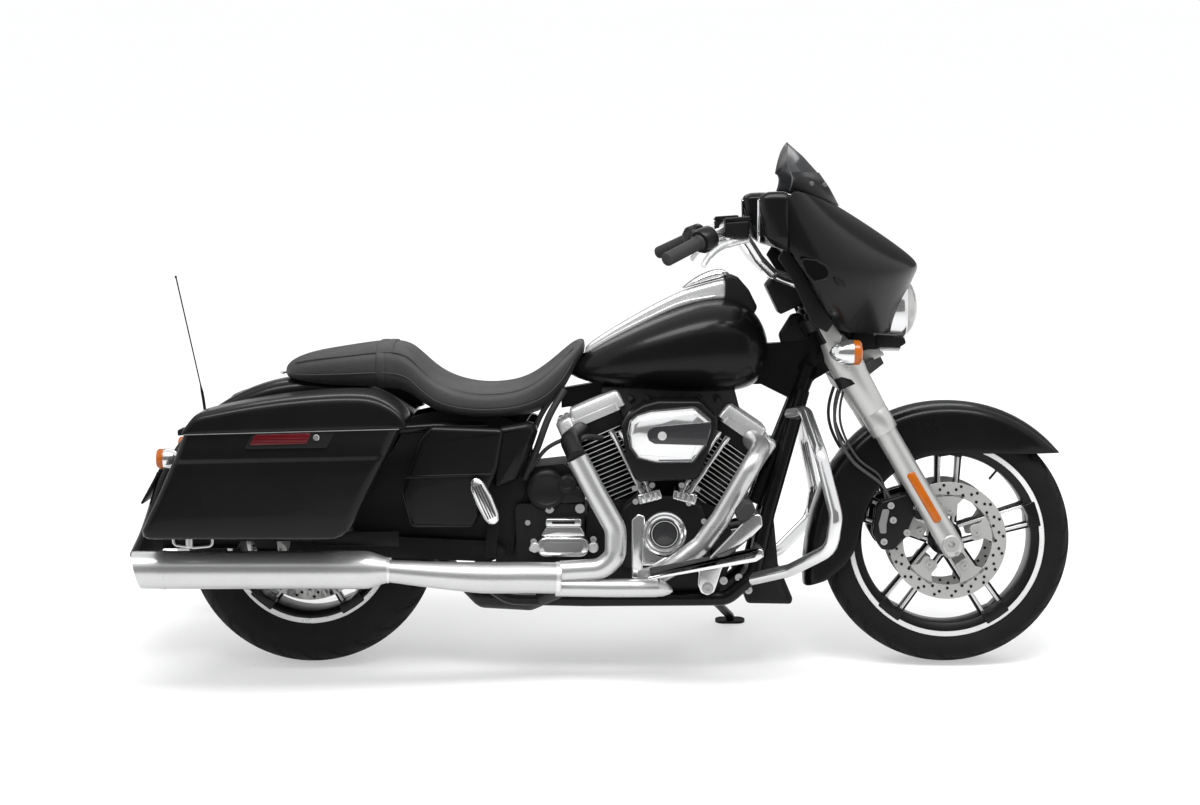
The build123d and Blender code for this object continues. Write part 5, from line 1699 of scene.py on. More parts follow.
    def chin(self) -> None:
        """The panels below the headlight, and black plates inside the fairing's cheeks that hide the lit
        inner face of its far half as painted shade.
        """
        visor = [(1440, 846), (1466, 846), (1512, 838), (1518, 822), (1500, 812), (1440, 812)]
        self.add("headlight_chin", panel(visor, -60, 60, 4, 8), Finish.MOULDING, slot="headlight")
        lip = panel([(1446, 813), (1508, 813), (1500, 802), (1450, 802)], -56, 56, 3, 4)
        # black plates that hide the lit inner face of the fairing's far half: painted shade
        cheek_shade_plate = [
            (1196, 1070), (1178, 1042), (1212, 990), (1232, 947), (1262, 880), (1300, 858), (1316, 880),
            (1280, 940), (1252, 990), (1226, 1034)
        ]
        self.pair("fairing_cheeks", panel(cheek_shade_plate, 232, 246, 3, 6), Finish.MOULDING, slot="fairing_inner")
        under = panel([(1372, 806), (1384, 856), (1496, 852), (1500, 826), (1440, 806)], -56, 56, 4, 6)
        self.add("fairing_underside", under, Finish.MOULDING, slot="fairing_inner")
        tongue = panel([(1398, 800), (1446, 818), (1464, 792), (1414, 770)], -52, 52, 3, 4)
        self.add("fork_tongue", tongue, Finish.SILVER, slot="triple_clamps")
        self.add("headlight_chin_lip", lip, Finish.CHROME, slot="headlight")

    def signals(self) -> None:
        """The front turn signals."""
        out, height = 232.0, 808.0
        shell = [(-82, 0), (-76, 13), (-62, 24), (-44, 31), (-28, 32.5), (-22, 32)]
        body = lathe(shell, (self.x - 236, -out, height), (1, 0, 0), 40)
        stalk = bar((self.x - 268, -112, 802), (self.x - 268, -out + 8, 806), 10)
        self.pair("front_signal_shells", body + stalk, Finish.CHROME, "front_turn_signals")
        lens = [(-23, 31.5), (-8, 31), (-2, 25), (1, 12), (1.5, 0)]
        lens = lathe(lens, (self.x - 236, -out, height), (1, 0, 0), 40)
        self.pair("front_signal_lenses", lens, Finish.AMBER, slot="front_turn_signals")

    def on_bar(self, share: float) -> Vector:
        """A place on the right end of the handlebar: 0 at its elbow, 1 at its tip."""
        elbow = Vector(self.bar_elbow)
        return elbow + (Vector(self.bar_end) - elbow) * share

    def turned_bar(self, profile: Sequence[Flat], sides: int) -> Form:
        """A form turned about the right end of the handlebar.

        Args:
            profile: Its profile, as (share of the way from elbow to tip, radius).
            sides: Points around it.
        Returns:
            The form.
        """
        along = Vector(self.bar_end) - Vector(self.bar_elbow)
        profile = [(share * along.length, radius) for share, radius in profile]
        return lathe(profile, self.bar_elbow, tuple(along.normalized()), sides)

    def grips(self) -> None:
        """The handlebar and its ribbed grips."""
        self.shop.paint(Finish.CHROME, "handlebar")
        count = 30
        ribs = [(0.30 + 0.74 * rib / count, 17.2 if rib % 2 else 16.2) for rib in range(2, count + 1)]
        collar = [(0.30, 12), (0.30, 19.5), (0.30 + 0.74 / count, 19.5)]
        grip = self.turned_bar([*collar, *ribs, (1.045, 15), (1.05, 0)], 32)
        self.pair("grip_pair", grip, Finish.RUBBER, "grips")

    def controls(self) -> None:
        """Switches, fluid reservoirs, levers and cables."""
        case = [(0.04, 0), (0.04, 22), (0.08, 29), (0.27, 31), (0.31, 27), (0.31, 0)]
        bottle = panel(self.ahead((-584, 1094), (-524, 1090), (-519, 1136), (-582, 1132)), 262, 322, 5, 7)
        lid = panel(self.ahead((-586, 1132), (-516, 1136), (-520, 1146), (-578, 1142)), 260, 324, 3, 4)
        housing = self.turned_bar(case, 28) + bottle + lid
        self.pair("switch_housings", housing, Finish.SATIN, "hand_controls")
        blade = [
            (1100, -296, 1090), (1066, -312, 1082), (1034, -334, 1072), (1008, -360, 1054),
            (992, -386, 1034), (988, -396, 1026)
        ]
        lever = tube(flowing(blade), [9.5] * 12 + [8.5] * 14 + [7.0] * 14 + [6.0], 16)
        perch = bar((1056, -270, 1096), (1066, -310, 1092), 10)
        self.pair("hand_levers", lever + perch, Finish.DULL_CHROME, slot="hand_controls")
        buttons = Form()
        for share, z in ((0.12, 8), (0.19, -4), (0.24, 6)):
            start, end = (tuple(self.on_bar(share) + Vector((x, 0, z))) for x in (-20, -29))
            buttons += bar(start, end, 4.5, 12)
        self.pair("switch_buttons", buttons, Finish.RUBBER, slot="hand_controls")
        start = tuple(self.on_bar(0.06))
        route = [start, (1094, -234, 1092), (1142, -190, 1030), (1190, -140, 992), (1262, -96, 968)]
        cable = tube(flowing(route), 4.2, 12)
        self.pair("control_cables", cable, Finish.RUBBER, slot="hand_controls")

    def mirrors(self) -> None:
        """The mirrors' shells, stalks and glasses."""
        head = [(334, 1066), (334, 1196), (352, 1206), (418, 1206), (428, 1190), (424, 1090), (400, 1062)]
        head = rounded(head, 24, 6)
        cross = Matrix(((0, 0, 1, 0), (-1, 0, 0, 0), (0, 1, 0, 0), (0, 0, 0, 1)))
        layers = [(1122, 26), (1123, 18), (1127, 10), (1134, 5), (1146, 1), (1166, 0), (1180, 0), (1190, 4)]
        shell = stack(head, layers).placed(cross)
        shell = shell.warped(lambda p: Vector((min(1190.0, p.x + max(0.0, 1112 - p.z) * 0.9), p.y, p.z)))
        stalk = bar((1180, -362, 1112), (1196, -350, 1112), 9)
        self.pair("mirror_heads", shell + stalk, Finish.PAINT, "mirrors")
        glass = stack(shrunk(head, 20), [(1120.6, 1), (1121.4, 0), (1124, 0)]).placed(cross)
        self.pair("mirror_glasses", glass, Finish.MIRROR, slot="mirrors")

    def dials(self) -> None:
        """The handlebar's riser cover and the dials behind the fairing."""
        cover = panel(
            [(1160, 968), (1172, 984), (1208, 998), (1262, 962), (1252, 920), (1196, 894)], -52, 52, 6, 8
        )
        self.add("riser_cover", cover, Finish.MOULDING, slot="handlebar")
        rings, faces = Form(), Form()
        for y, radius in ((-66, 44), (66, 44), (-158, 28), (158, 28)):
            place, axis = (1178, y, 1128), (1, 0, 0)
            rim = [(0, radius - 5), (-9, radius - 4), (-11, radius), (-6, radius + 3), (0, radius + 3)]
            rings += lathe(rim, place, axis, 40, closed=True)
            faces += lathe([(-3, radius - 4), (-3, 0)], place, axis, 40)
        self.add("dial_rings", rings, Finish.CHROME, slot="fairing_inner")
        self.add("dial_faces", faces, Finish.DIAL, slot="fairing_inner")

    def build(self) -> None:
        """Makes the front end's pieces."""
        self.sliders()
        self.covers()
        self.fender()
        self.calipers()
        self.fairing()
        self.screen()
        self.headlight()
        self.chin()
        self.signals()
        self.grips()
        self.controls()
        self.mirrors()
        self.dials()


# ---- engine ------------------------------------------------------------------
@dataclass(frozen=True)
class Engine(Assembly):
    """The V-twin, its gearbox and its covers."""

    crank: Flat = (875.0, 250.0)
    tilts: tuple[float, float] = (-23.0, 35.0)
    deck: float = 192.0
    fins: int = 15
    pitch: float = 12.0
    fin_half: float = 75.0

    def bore(self, tilt: float, height: float = 0.0) -> Matrix:
        """Where a cylinder's axis stands, with its local Z running up it.

        Args:
            tilt: The axis's lean forwards, in degrees.
            height: How far up it the place is.
        Returns:
            The place.
        """
        place = Matrix.Translation((self.crank[0], 0, self.crank[1]))
        place @= Matrix.Rotation(math.radians(tilt), 4, "Y")
        return place @ Matrix.Translation((0, 0, height))

    def cylinders(self) -> None:
        """Barrels, fins with machined edges, heads and rocker covers."""
        top = self.deck + self.fins * self.pitch
        square = rounded(box(-self.fin_half, self.fin_half, self.fin_half), 34, 6)
        fin = stack(square, [(0, 1), (0.8, 0), (3.2, 0), (4, 1)])
        lip = stack(square, [(1.1, -0.6), (2.7, -0.6)])
        values = {"Count": self.fins, "Pitch": self.pitch * MM}
        barrels, heads, lower, upper, bolts = Form(), Form(), Form(), Form(), Form()
        for number, (tilt, out, long) in enumerate(zip(self.tilts, (-1, 1), (84, 76))):
            foot, axis = self.bore(tilt, self.deck + 6), self.bore(tilt)
            for name, form, finish in (
                ("cylinder_fins", fin, Finish.SATIN), ("fin_edges", lip, Finish.MACHINED)
            ):
                name = f"{name}_{number}"
                self.shop.repeat(
                    name, self.shop.line, form, values, foot, finish, self.body, slot="cylinders"
                )
            barrel = [(self.deck, 0), (self.deck, 60), (top + 6, 60), (top + 6, 0)]
            barrels += lathe(barrel, (0, 0, 0), (0, 0, 1), 48).placed(axis)
            head = [(top - 2, 2), (top, 0), (top + 32, 0), (top + 34, 2)]
            heads += stack(rounded(box(-80, 80, 75), 18), head).placed(axis)
            base = [(top + 34, 0), (top + 52, 0), (top + 54, 2)]
            lower += stack(rounded(box(-long, long, 78), 20), base).placed(axis)
            start, end = sorted((out * (long - 40), -out * (long + 12)))
            crown = [(top + 40, 0), (top + 76, 1), (top + 83, 6), (top + 86, 14)]
            upper += stack(rounded(box(start, end, 75), 12), crown).placed(axis)
            start, end = sorted((out * (long + 2), out * (long - 42)))
            block = [(top + 8, 0), (top + 60, 0), (top + 66, 4), (top + 69, 12)]
            upper += stack(rounded(box(start, end, 80), 12), block).placed(axis)
            for across in (start + 14, end - 14):
                for side in (-62, 62):
                    bolts += bar((across, side, top + 60), (across, side, top + 71), 6, 14).placed(axis)
        self.add("cylinder_barrels", barrels + heads, Finish.SATIN, "cylinders")
        self.add("rocker_boxes", lower + upper, Finish.DULL_CHROME, "rocker_covers")
        self.add("rocker_bolts", bolts, Finish.STEEL, slot="rocker_covers")

    def covers(self) -> None:
        """The cam and timer covers."""
        self.shop.paint(Finish.WRINKLE, "crankcase", "gearbox")
        cam = [(792, 262), (790, 410), (832, 446), (962, 446), (1000, 408), (1010, 332), (960, 262)]
        self.add("cam_case", panel(cam, 105, 172, 8, 22), Finish.SATIN, "cam_cover")
        strip = [(818, 236), (818, 384), (834, 400), (852, 394), (848, 300), (846, 236)]
        wedge = [(846, 268), (846, 336), (858, 312), (886, 292), (936, 290), (942, 270)]
        bright = panel(strip, 150, 180, 4, 8) + panel(wedge, 168, 176, 2, 4)
        self.add("cam_trim", bright, Finish.CHROME, slot="cam_cover")
        timer = (901, -176.0, 350)
        ring = [
            (-4, 36), (-4, 56), (6, 56), (12, 54), (14, 50), (11, 47.5), (11, 46), (15, 45), (17, 41),
            (16, 38), (12, 36)
        ]
        self.add(
            "timer_ring", lathe(ring, timer, (0, -1, 0), 64, closed=True), Finish.CHROME, "timer_cover"
        )
        face = [(9, 38), (12, 37), (12.5, 30), (11.5, 29), (12.5, 28), (13.5, 10), (14, 0)]
        self.add("timer_face", lathe(face, timer, (0, -1, 0), 48), Finish.DIAL, slot="timer_cover")
        line = lathe(
            [(12.4, 33.6), (13.4, 33.2), (13.4, 31.8), (12.4, 31.4)], timer, (0, -1, 0), 48, closed=True
        )
        self.add("timer_line", line, Finish.DULL_CHROME, slot="timer_cover")

    def pushrods(self) -> None:
        """Pushrod tubes, their tappet blocks and the cam cover's bolts."""
        rods = Form()
        pairs = (
            ((846, 450), (766, 606)), ((866, 452), (790, 606)), ((942, 452), (1040, 604)),
            ((962, 450), (1062, 590))
        )
        for (x0, z0), (x1, z1) in pairs:
            low, high = Vector((x0, -140, z0)), Vector((x1, -134, z1))
            shares = (0, 0.08, 0.1, 0.13, 0.42, 0.44, 0.88, 0.9, 1)
            radii = [10, 10, 8, 8, 8, 6.4, 6.4, 8.5, 8.5]
            rods += tube([low.lerp(high, share) for share in shares], radii, 20)
        blocks = panel([(838, 422), (832, 446), (888, 462), (896, 438)], 112, 176, 3, 4)
        ribs = [
            ((843, 426), (838, 444)), ((856, 430), (851, 448)), ((869, 434), (864, 452)),
            ((882, 438), (877, 456)), ((934, 440), (937, 456)), ((947, 437), (950, 453)),
            ((960, 434), (963, 450)), ((973, 430), (976, 447))
        ]
        rods += gather(bar((x0, -177, z0), (x1, -177, z1), 3.6, 10) for (x0, z0), (x1, z1) in ribs)
        blocks += panel([(921, 438), (924, 460), (984, 446), (977, 420)], 112, 176, 3, 4)
        self.add("pushrods_and_blocks", rods + blocks, Finish.CHROME, "pushrod_tubes")
        spots = [
            (828, 430), (962, 426), (784, 300), (1000, 380), (990, 292), (870, 470), (826, 462), (944, 470),
            (984, 460)
        ]
        bolts = gather(bolt(x, 156 if z > 440 else 172, z, 5.5, 6) for x, z in spots)
        self.add("cam_bolts", bolts, Finish.STEEL, slot="cam_cover")

    def air_cleaner(self) -> None:
        """The air cleaner: a bright cover with a plain dark inlay over a black back plate."""
        back = [
            (847, 676), (884, 686), (989, 686), (1030, 644), (1033, 621), (1003, 538), (984, 488),
            (829, 483), (805, 538), (792, 621), (810, 653)
        ]
        self.add("air_body", panel(back, 62, 205, 8, 22), Finish.SATIN, "air_cleaner_body")
        outline = [
            (805, 606), (812, 636), (830, 652), (865, 663), (970, 673), (982, 669), (1015, 640),
            (1014, 610), (1004, 577), (979, 542), (970, 532), (883, 531), (832, 542), (812, 570)
        ]
        cover = stack(
            rounded(outline, 12), [(200, 0), (226, 0), (236, 3), (243, 8), (246, 14)]
        ).placed(SIDEWAYS)
        self.add("air_cover", cover, Finish.CHROME, "air_cleaner_cover")
        inlay = [
            (874, 626), (1013, 637), (1014, 628), (1003, 578), (874, 582), (860, 590), (855, 604),
            (860, 618)
        ]
        self.add("air_inlay", panel(inlay, 226, 248.5, 2, 9), Finish.DIAL, slot="air_cleaner_cover")
        badge = lathe(
            [(0, 11), (1.6, 11), (1.6, 9), (0.6, 8.6), (0.6, 5), (1.6, 4.6), (1.6, 0)], (893, -248, 602),
            (0, -1, 0), 36
        )
        self.add("air_cover_screw", badge, Finish.DULL_CHROME, slot="air_cleaner_cover")

    def gearbox(self) -> None:
        """The bright side cover of the gearbox, with its inlay and bolts."""
        skirt = [(604, 366), (588, 340), (704, 340), (690, 366)]
        top = [(602, 366), (602, 386), (692, 386), (692, 366)]
        lower = [(582, 290), (582, 339), (710, 339), (710, 290)]
        bright = panel(skirt, 132, 164, 4, 6) + panel(top, 132, 168, 3, 6) + panel(lower, 132, 172, 5, 24)
        self.add("gearbox_cover", bright, Finish.CHROME, "gear_cover")
        self.add(
            "gearbox_inlay", panel([(597, 301), (597, 327), (696, 327), (696, 301)], 168, 174.5, 1, 13),
            Finish.INLAY, slot="gear_cover"
        )
        slot = panel([(618, 373), (618, 380), (676, 380), (676, 373)], 166, 169.2, 0.6, 3)
        self.add("gearbox_slot", slot, Finish.SATIN, slot="gear_cover")
        spots = (
            (611, 408, 9), (688, 408, 9), (571, 324, 6), (722, 330, 6), (566, 306, 5), (560, 250, 8),
            (690, 250, 8), (556, 372, 5)
        )
        bolts = gather(bolt(x, 132, z, radius, 8) for x, z, radius in spots)
        ear = [(0, 13), (34, 13), (37, 10), (37, 0)]
        ears = gather(lathe(ear, (x, -126, 312), (0, -1, 0), 28) for x in (575, 722))
        self.add("gearbox_ears", ears, Finish.DULL_CHROME, slot="gear_cover")
        domes = Form()
        for x, z, out, radius in ((604, 456, 122, 52), (656, 470, 124, 26)):
            dome = [
                (0, radius), (12, radius), (18, radius - 5), (20, radius - 14), (17, radius - 18), (17, 0)
            ]
            domes += lathe(dome, (x, -out, z), (0, -1, 0), 56)
        domes += panel([(640, 420), (636, 462), (660, 474), (690, 462), (704, 424)], 118, 140, 6, 8)
        self.add("gearbox_domes", domes, Finish.WRINKLE, slot="gearbox")
        hoses = Form()
        for route, radius, sides in (
            ([(660, -150, 520), (672, -158, 566), (700, -150, 590), (744, -120, 586)], 7, 12),
            ([(560, -120, 500), (600, -126, 556), (650, -122, 584), (700, -100, 600)], 5.5, 12),
            ([(648, -84, 706), (610, -110, 640), (580, -120, 560), (548, -118, 480)], 9, 14),
            ([(628, -70, 700), (588, -96, 640), (556, -104, 560), (520, -104, 470)], 7, 12),
        ):
            hoses += tube(flowing(route), radius, sides)
        self.add("gearbox_hoses", hoses, Finish.RUBBER, slot="gearbox")
        self.add("gearbox_bolts", bolts, Finish.STEEL, slot="gearbox")

    def left_side(self) -> None:
        """The primary cover with its two round lids, and the horn."""
        self.shop.paint(Finish.CHROME, "primary_cover")
        lids = Form()
        for x, z, radius in ((612, 292, 92), (905, 262, 46)):
            lid = [(0, radius), (5, radius), (9, radius - 4), (10, radius - 12), (7, radius - 16), (7, 0)]
            lids += lathe(lid, (x, 205, z), (0, 1, 0), 64)
        self.add("primary_lids", lids, Finish.CHROME, slot="primary_cover")
        self.shop.paint(Finish.SATIN, "horn", "drive_belt")
        horn = lathe([(0, 52), (6, 50), (12, 36), (16, 12), (17, 0)], (875, 190, 535), (0, 1, 0), 48)
        self.add("horn_cover", horn, Finish.CHROME, slot="horn")

    def build(self) -> None:
        """Makes the engine's pieces."""
        self.cylinders()
        self.covers()
        self.pushrods()
        self.air_cleaner()
        self.gearbox()
        self.left_side()


# ---- exhaust -----------------------------------------------------------------
@dataclass(frozen=True)
class Exhaust(Assembly):
    """Headers under bright shields, a joining pipe and two long silencers."""

    out: float = 238.0
    bend: float = 60.0
    can_out: float = 318.0
    can_z: float = 277.0
    can_radius: float = 47.0
    can_sides: int = 48
    slash: float = 24.0

    def headers(self) -> None:
        """The two header shields, the collector and the crossing pipe to the left."""
        out = -self.out
        knee = (682, out + 2, 546)
        rear = [knee, (731, out, 453), (778, out, 368), (778, out, 300), (742, out, 268), (640, out, 262)]
        front = [
            (1124, -84, 578), (1146, -160, 566), (1118, -212, 528), (1075, -212, 453), (1040, -212, 392),
            (992, -212, 326), (940, -212, 284), (880, -190, 246), (846, -170, 236)
        ]
        lower = [(880, -222, 219), (820, out, 221), (760, out, 221), (628, out, 223)]
        stub = tube(bent([(690, -84, 600), (662, -176, 584), knee], 30, 8), 24, 24)
        self.add("exhaust_stub", stub, Finish.WRINKLE, slot="exhaust_pipes")
        pipes = Form()
        for route, radius in ((rear, 27), (front, 25), (lower, 23)):
            pipes += tube(bent(route, self.bend, 8), radius, 28)
        tip = [Vector(p) for p in ((882, -221, 219), (900, -219, 215), (914, -217, 212), (920, -216, 211))]
        pipes += tube(tip, [23, 18, 10, 3], 28)
        joint = [
            (640, out, 246), (560, out - 8, 248), (445, out - 36, 252), (330, out - 60, 262),
            (206, out - 78, 275)
        ]
        pipes += tube(flowing(joint, 6), [39 - max(0, ring - 12) for ring in range(25)], 32)
        cross = [
            (640, -208, 215), (560, -60, 160), (430, 120, 140), (300, 300, 240),
            (190, self.can_out, self.can_z)
        ]
        self.add(
            "exhaust_crossing", tube(bent(cross, self.bend, 8), 22, 24), Finish.WRINKLE,
            slot="exhaust_pipes"
        )
        self.add("exhaust_shields", pipes, Finish.EXHAUST, "exhaust_pipes")
        clamps = Form()
        for place, radius in (((632, out, 246), 40.5), ((214, -314, 275), 31)):
            band = [(-5, radius - 2), (-5, radius), (5, radius), (5, radius - 2)]
            clamps += lathe(band, place, (-1, -0.1, 0.03), 40, closed=True)
        self.add("exhaust_clamps", clamps, Finish.DULL_CHROME, slot="exhaust_pipes")

    def silencer(self, side: Side) -> Form:
        """A silencer with a flared mouth and a slash-cut tip that is hollow inside.

        Args:
            side: The side that it lies on.
        Returns:
            The silencer.
        """
        stations = [
            (214, 32), (200, 36), (184, 42), (170, 46), (156, 47), (120, 47), (-100, 47), (-330, 47),
            (-400, 46.5), (-413, 46)
        ]
        inside = [(-411, 43.5), (-330, 43), (-328, 0.5)]
        rings = []
        for x, radius in stations + inside:
            ring = []
            for step in range(self.can_sides):
                angle = math.tau * step / self.can_sides
                z = self.can_z + radius * math.sin(angle)
                share = (self.can_z + self.can_radius - z) / (2 * self.can_radius) if x < -380 else 0.0
                ring.append(Vector(
                    (x + self.slash * share, side.value * self.can_out + radius * math.cos(angle), z)
                ))
            rings.append(ring)
        return loft(rings)

    def build(self) -> None:
        """Makes the exhaust's pieces."""
        self.headers()
        for side, node in ((Side.RIGHT, "muffler_right"), (Side.LEFT, "muffler_left")):
            self.add(f"{node}_can", self.silencer(side), Finish.EXHAUST, node, smooth=50)
        band = lathe([(0, 47), (0, 48), (12, 48), (12, 47)], (-330, 0, 0), (-1, 0, 0), 48, closed=True)
        bands = band.moved(0, -self.can_out, self.can_z).both_sides()
        self.add("silencer_bands", bands, Finish.EXHAUST, slot="muffler_right")
        hanger = panel([(-96, 300), (-120, 352), (-60, 356), (-56, 320)], 296, 304, 1.5, 6)
        self.pair("silencer_hangers", hanger, Finish.SATIN, slot="rear_subframe")


# ---- bodywork ----------------------------------------------------------------
@dataclass(frozen=True)
class Bodywork(Assembly):
    """Tank, console, seat, side covers, rear fender and lamps."""

    tank_power: float = 2.5
    fender_half: float = 108.0
    fender_radius: float = 420.0

    def ring(
        self, x: float, half: float, low: float, high: float, power: float, count: int = 24
    ) -> list[Vector]:
        """A section across the machine at an X; the other arguments are those of `swollen`."""
        return [Vector((x, y, z)) for y, z in swollen(half, low, high, power, count)]

    def tank(self) -> None:
        """The fuel tank."""
        stations = [
            # x, half width, low, high
            (657, 16, 746, 764), (664, 40, 738, 774), (690, 66, 726, 790), (740, 96, 713, 822),
            (810, 126, 704, 860), (890, 148, 697, 897), (960, 160, 694, 924), (1030, 165, 693, 940),
            (1085, 160, 698, 935), (1124, 148, 708, 912), (1150, 124, 732, 880), (1163, 92, 764, 846),
            (1168, 40, 790, 818),
        ]
        skin = loft([self.ring(*station, self.tank_power) for station in stations])
        self.add("tank_shell", skin, Finish.PAINT, "fuel_tank", subdivide=2)

    def console(self) -> None:
        """The bright console down the tank, the fuel door and the black lock housing."""
        stations = [
            (700, 26, 782, 806), (706, 32, 784, 818), (767, 38, 822, 858), (861, 42, 876, 912),
            (946, 44, 914, 956), (1020, 44, 930, 976), (1050, 43, 930, 984), (1062, 40, 932, 984),
        ]
        skin = loft([self.ring(*station, 5.0) for station in stations])
        self.add("console_strip", skin, Finish.DULL_CHROME, "tank_console", subdivide=2)
        nose = [
            (1056, 926), (1056, 990), (1070, 998), (1090, 990), (1118, 958), (1140, 914), (1132, 894),
            (1100, 900)
        ]
        self.add("console_nose", panel(nose, -40, 40, 9, 14), Finish.MOULDING, slot="tank_console")
        door = [
            (948, 962, 20), (962, 974, 32), (988, 993, 38), (1022, 1008, 39), (1052, 1012, 36),
            (1072, 998, 24)
        ]
        rings = [self.ring(x, half, 948 + (x - 930) * 0.264 + 6, high, 2.6, 20) for x, high, half in door]
        self.add(
            "fuel_door_dome", loft(rings), Finish.CHROME, "fuel_door", subdivide=2, body=Body.FUEL_DOOR
        )
        strip = tube(
            flowing([(700, -46, 800), (767, -70, 842), (861, -84, 890), (946, -86, 928), (1030, -84, 944)]),
            1.8, 8
        )
        self.pair("tank_strips", strip, Finish.DULL_CHROME, slot="tank_console")

    def seat(self) -> None:
        """The two-up leather seat: a passenger pad, a rider's hollow, a strap and seams."""
        stations = [
            # x, half width, low, high, power
            (-61, 60, 744, 762, 2.4), (-54, 92, 732, 774, 2.6), (-30, 124, 724, 789, 2.8),
            (20, 146, 716, 803, 3.0), (98, 157, 713, 815, 3.2), (170, 162, 712, 826, 3.3),
            (222, 166, 708, 828, 3.3), (258, 171, 696, 817, 3.2), (292, 176, 668, 784, 3.0),
            (335, 181, 644, 747, 2.9), (392, 187, 634, 725, 2.9), (450, 189, 632, 717, 2.9),
            (510, 180, 634, 722, 2.9), (556, 162, 640, 736, 2.8), (600, 130, 652, 766, 2.6),
            (640, 96, 690, 800, 2.5), (670, 78, 748, 826, 2.4), (692, 66, 786, 834, 2.4),
            (700, 46, 800, 826, 2.4),
        ]
        rings = [self.ring(*station, 32) for station in stations]
        seat = self.add("seat_cover", loft(rings), Finish.LEATHER, "seat", subdivide=2)
        strap = []
        for x, grow in (
            (176, 0.4), (178, 2.6), (196, 2.8), (197.5, 1.0), (199, 2.8), (218, 2.6), (220, 0.4)
        ):
            strap.append(self.ring(x, 163.5 + grow, 711 - grow, 826.5 + grow, 3.3, 32))
        self.add(
            "seat_strap", loft(strap, capped=False), Finish.LEATHER, slot="seat", subdivide=1, wall=1.5
        )
        seams = Form()
        for height in (0.80, 0.36):
            route = []
            for x, half, low, high, power in stations[2:-2]:
                z = low + (high - low) * height
                share = abs(2 * height - 1)
                out = half * (1 - share**power) ** (1 / power)
                route.append((x, -(out + 0.6), z))
            seams += tube(flowing(route, 6), 1.6, 8).both_sides()
        self.add("seat_seams", seams, Finish.THREAD, slot="seat")

    def side_covers(self) -> None:
        """The painted covers below the seat."""
        outline = [(318, 624), (502, 618), (484, 514), (424, 368), (264, 368), (240, 460), (288, 590)]
        cover = stack(
            rounded(outline, 18), [(190, 4), (196, 0), (206, 1), (211, 4), (214, 9), (215.2, 15)]
        ).placed(SIDEWAYS)
        self.pair("side_cover_pair", cover, Finish.PAINT, "side_covers")
        nose = [(484, 620), (556, 630), (578, 624), (582, 604), (560, 540), (532, 486), (470, 462)]
        wedge = panel(nose, 150, 205, 16, 14)
        wedge = wedge.warped(lambda p: Vector((p.x, p.y + max(0.0, p.x - 490) * 0.35, p.z)))
        self.pair("side_cover_noses", wedge, Finish.PAINT, slot="side_covers")
        well = [
            (110, 370), (240, 600), (262, 640), (330, 655), (470, 650), (560, 606), (566, 478), (540, 420),
            (520, 292), (420, 285), (330, 290), (230, 290), (120, 300)
        ]
        self.pair("side_wells", panel(well, 100, 112, 3, 8), Finish.MOULDING, slot="rear_subframe")
        crease = panel([(252, 492), (252, 500), (470, 506), (468, 498)], 212, 218, 2.5, 3)
        self.pair("side_cover_creases", crease, Finish.PAINT, slot="side_covers")

    def fender(self) -> None:
        """The rear fender: an arch round the wheel that runs on into a straight tail."""
        half, radius = self.fender_half, self.fender_radius
        crest = []
        for degrees in (50, 60, 72, 84, 96, 108, 120, 132, 142, 150):
            c, s = math.cos(math.radians(degrees)), math.sin(math.radians(degrees))
            crest.append((radius * c, AXLE_HEIGHT + radius * s, c, s))
        crest += [
            (-386, 498, -0.9, 0.42), (-408, 430, -0.93, 0.36), (-430, 360, -0.95, 0.3),
            (-446, 322, -0.9, 0.43), (-466, 284, -0.88, 0.47)
        ]
        rings = []
        for x, z, nx, nz in crest:
            section = [
                (half, -62), (half, -30), (half - 5, -14), (half - 20, -4), (half * 0.5, -0.5), (0, 0)
            ]
            rings.append([Vector((x + nx * drop, y, z + nz * drop)) for y, drop in reflected(section)])
        skin = loft(rings, around=False, capped=False)
        self.add("rear_fender_skin", skin, Finish.PAINT, "rear_fender", subdivide=2, wall=3.5)

    def lamps(self) -> None:
        """The rear turn signals, the plate bracket and the tail reflector."""
        shell = lathe(
            [(0, 25), (4, 26), (20, 25), (34, 17), (40, 8), (41, 0)], (-354, -178, 539), (1, 0, 0), 36
        )
        stalk = bar((-340, -172, 541), (-340, 172, 541), 8)
        plate_side = [(-374, 502), (-424, 414), (-429, 417), (-380, 506)]
        self.add("rear_signal_shells", shell.both_sides() + stalk, Finish.CHROME, "rear_lamps")
        self.add("plate_bracket", panel(plate_side, -92, 92, 1.5, 2), Finish.SATIN, slot="rear_lamps")
        lens = lathe([(0, 25), (12, 25), (17, 21), (19, 10), (19.5, 0)], (-354, -178, 539), (-1, 0, 0), 36)
        self.pair("rear_signal_lenses", lens, Finish.AMBER, slot="rear_lamps")
        lamp = panel([(-388, 476), (-384, 492), (-392, 494), (-398, 478)], -60, 60, 2, 3)
        self.add("tail_reflector", lamp, Finish.RED, slot="rear_lamps")

    def aerial(self) -> None:
        """The aerial, and the screw that holds the seat."""
        rod = tube(
            flowing([(-262, 200, 602), (-300, 200, 620), (-316, 200, 700), (-378, 200, 985)]),
            [4.0] * 16 + [1.8] * 9, 10
        )
        post = bar((-262, 104, 600), (-262, 204, 600), 8)
        tip = lathe([(-3, 0), (-2, 3), (3, 3), (4, 0)], (-378, 200, 983), (0, 0, 1), 12)
        self.add("aerial_rod", rod + post + tip, Finish.SATIN, "antenna")
        screw = lathe([(0, 9), (5, 9), (8, 6), (9, 0)], (-72, 0, 741), (-0.3, 0, 1), 24)
        self.add("seat_screw", screw, Finish.CHROME, slot="rear_fender")

    def build(self) -> None:
        """Makes the bodywork's pieces."""
        self.tank()
        self.console()
        self.seat()
        self.side_covers()
        self.fender()
        self.lamps()
        self.aerial()


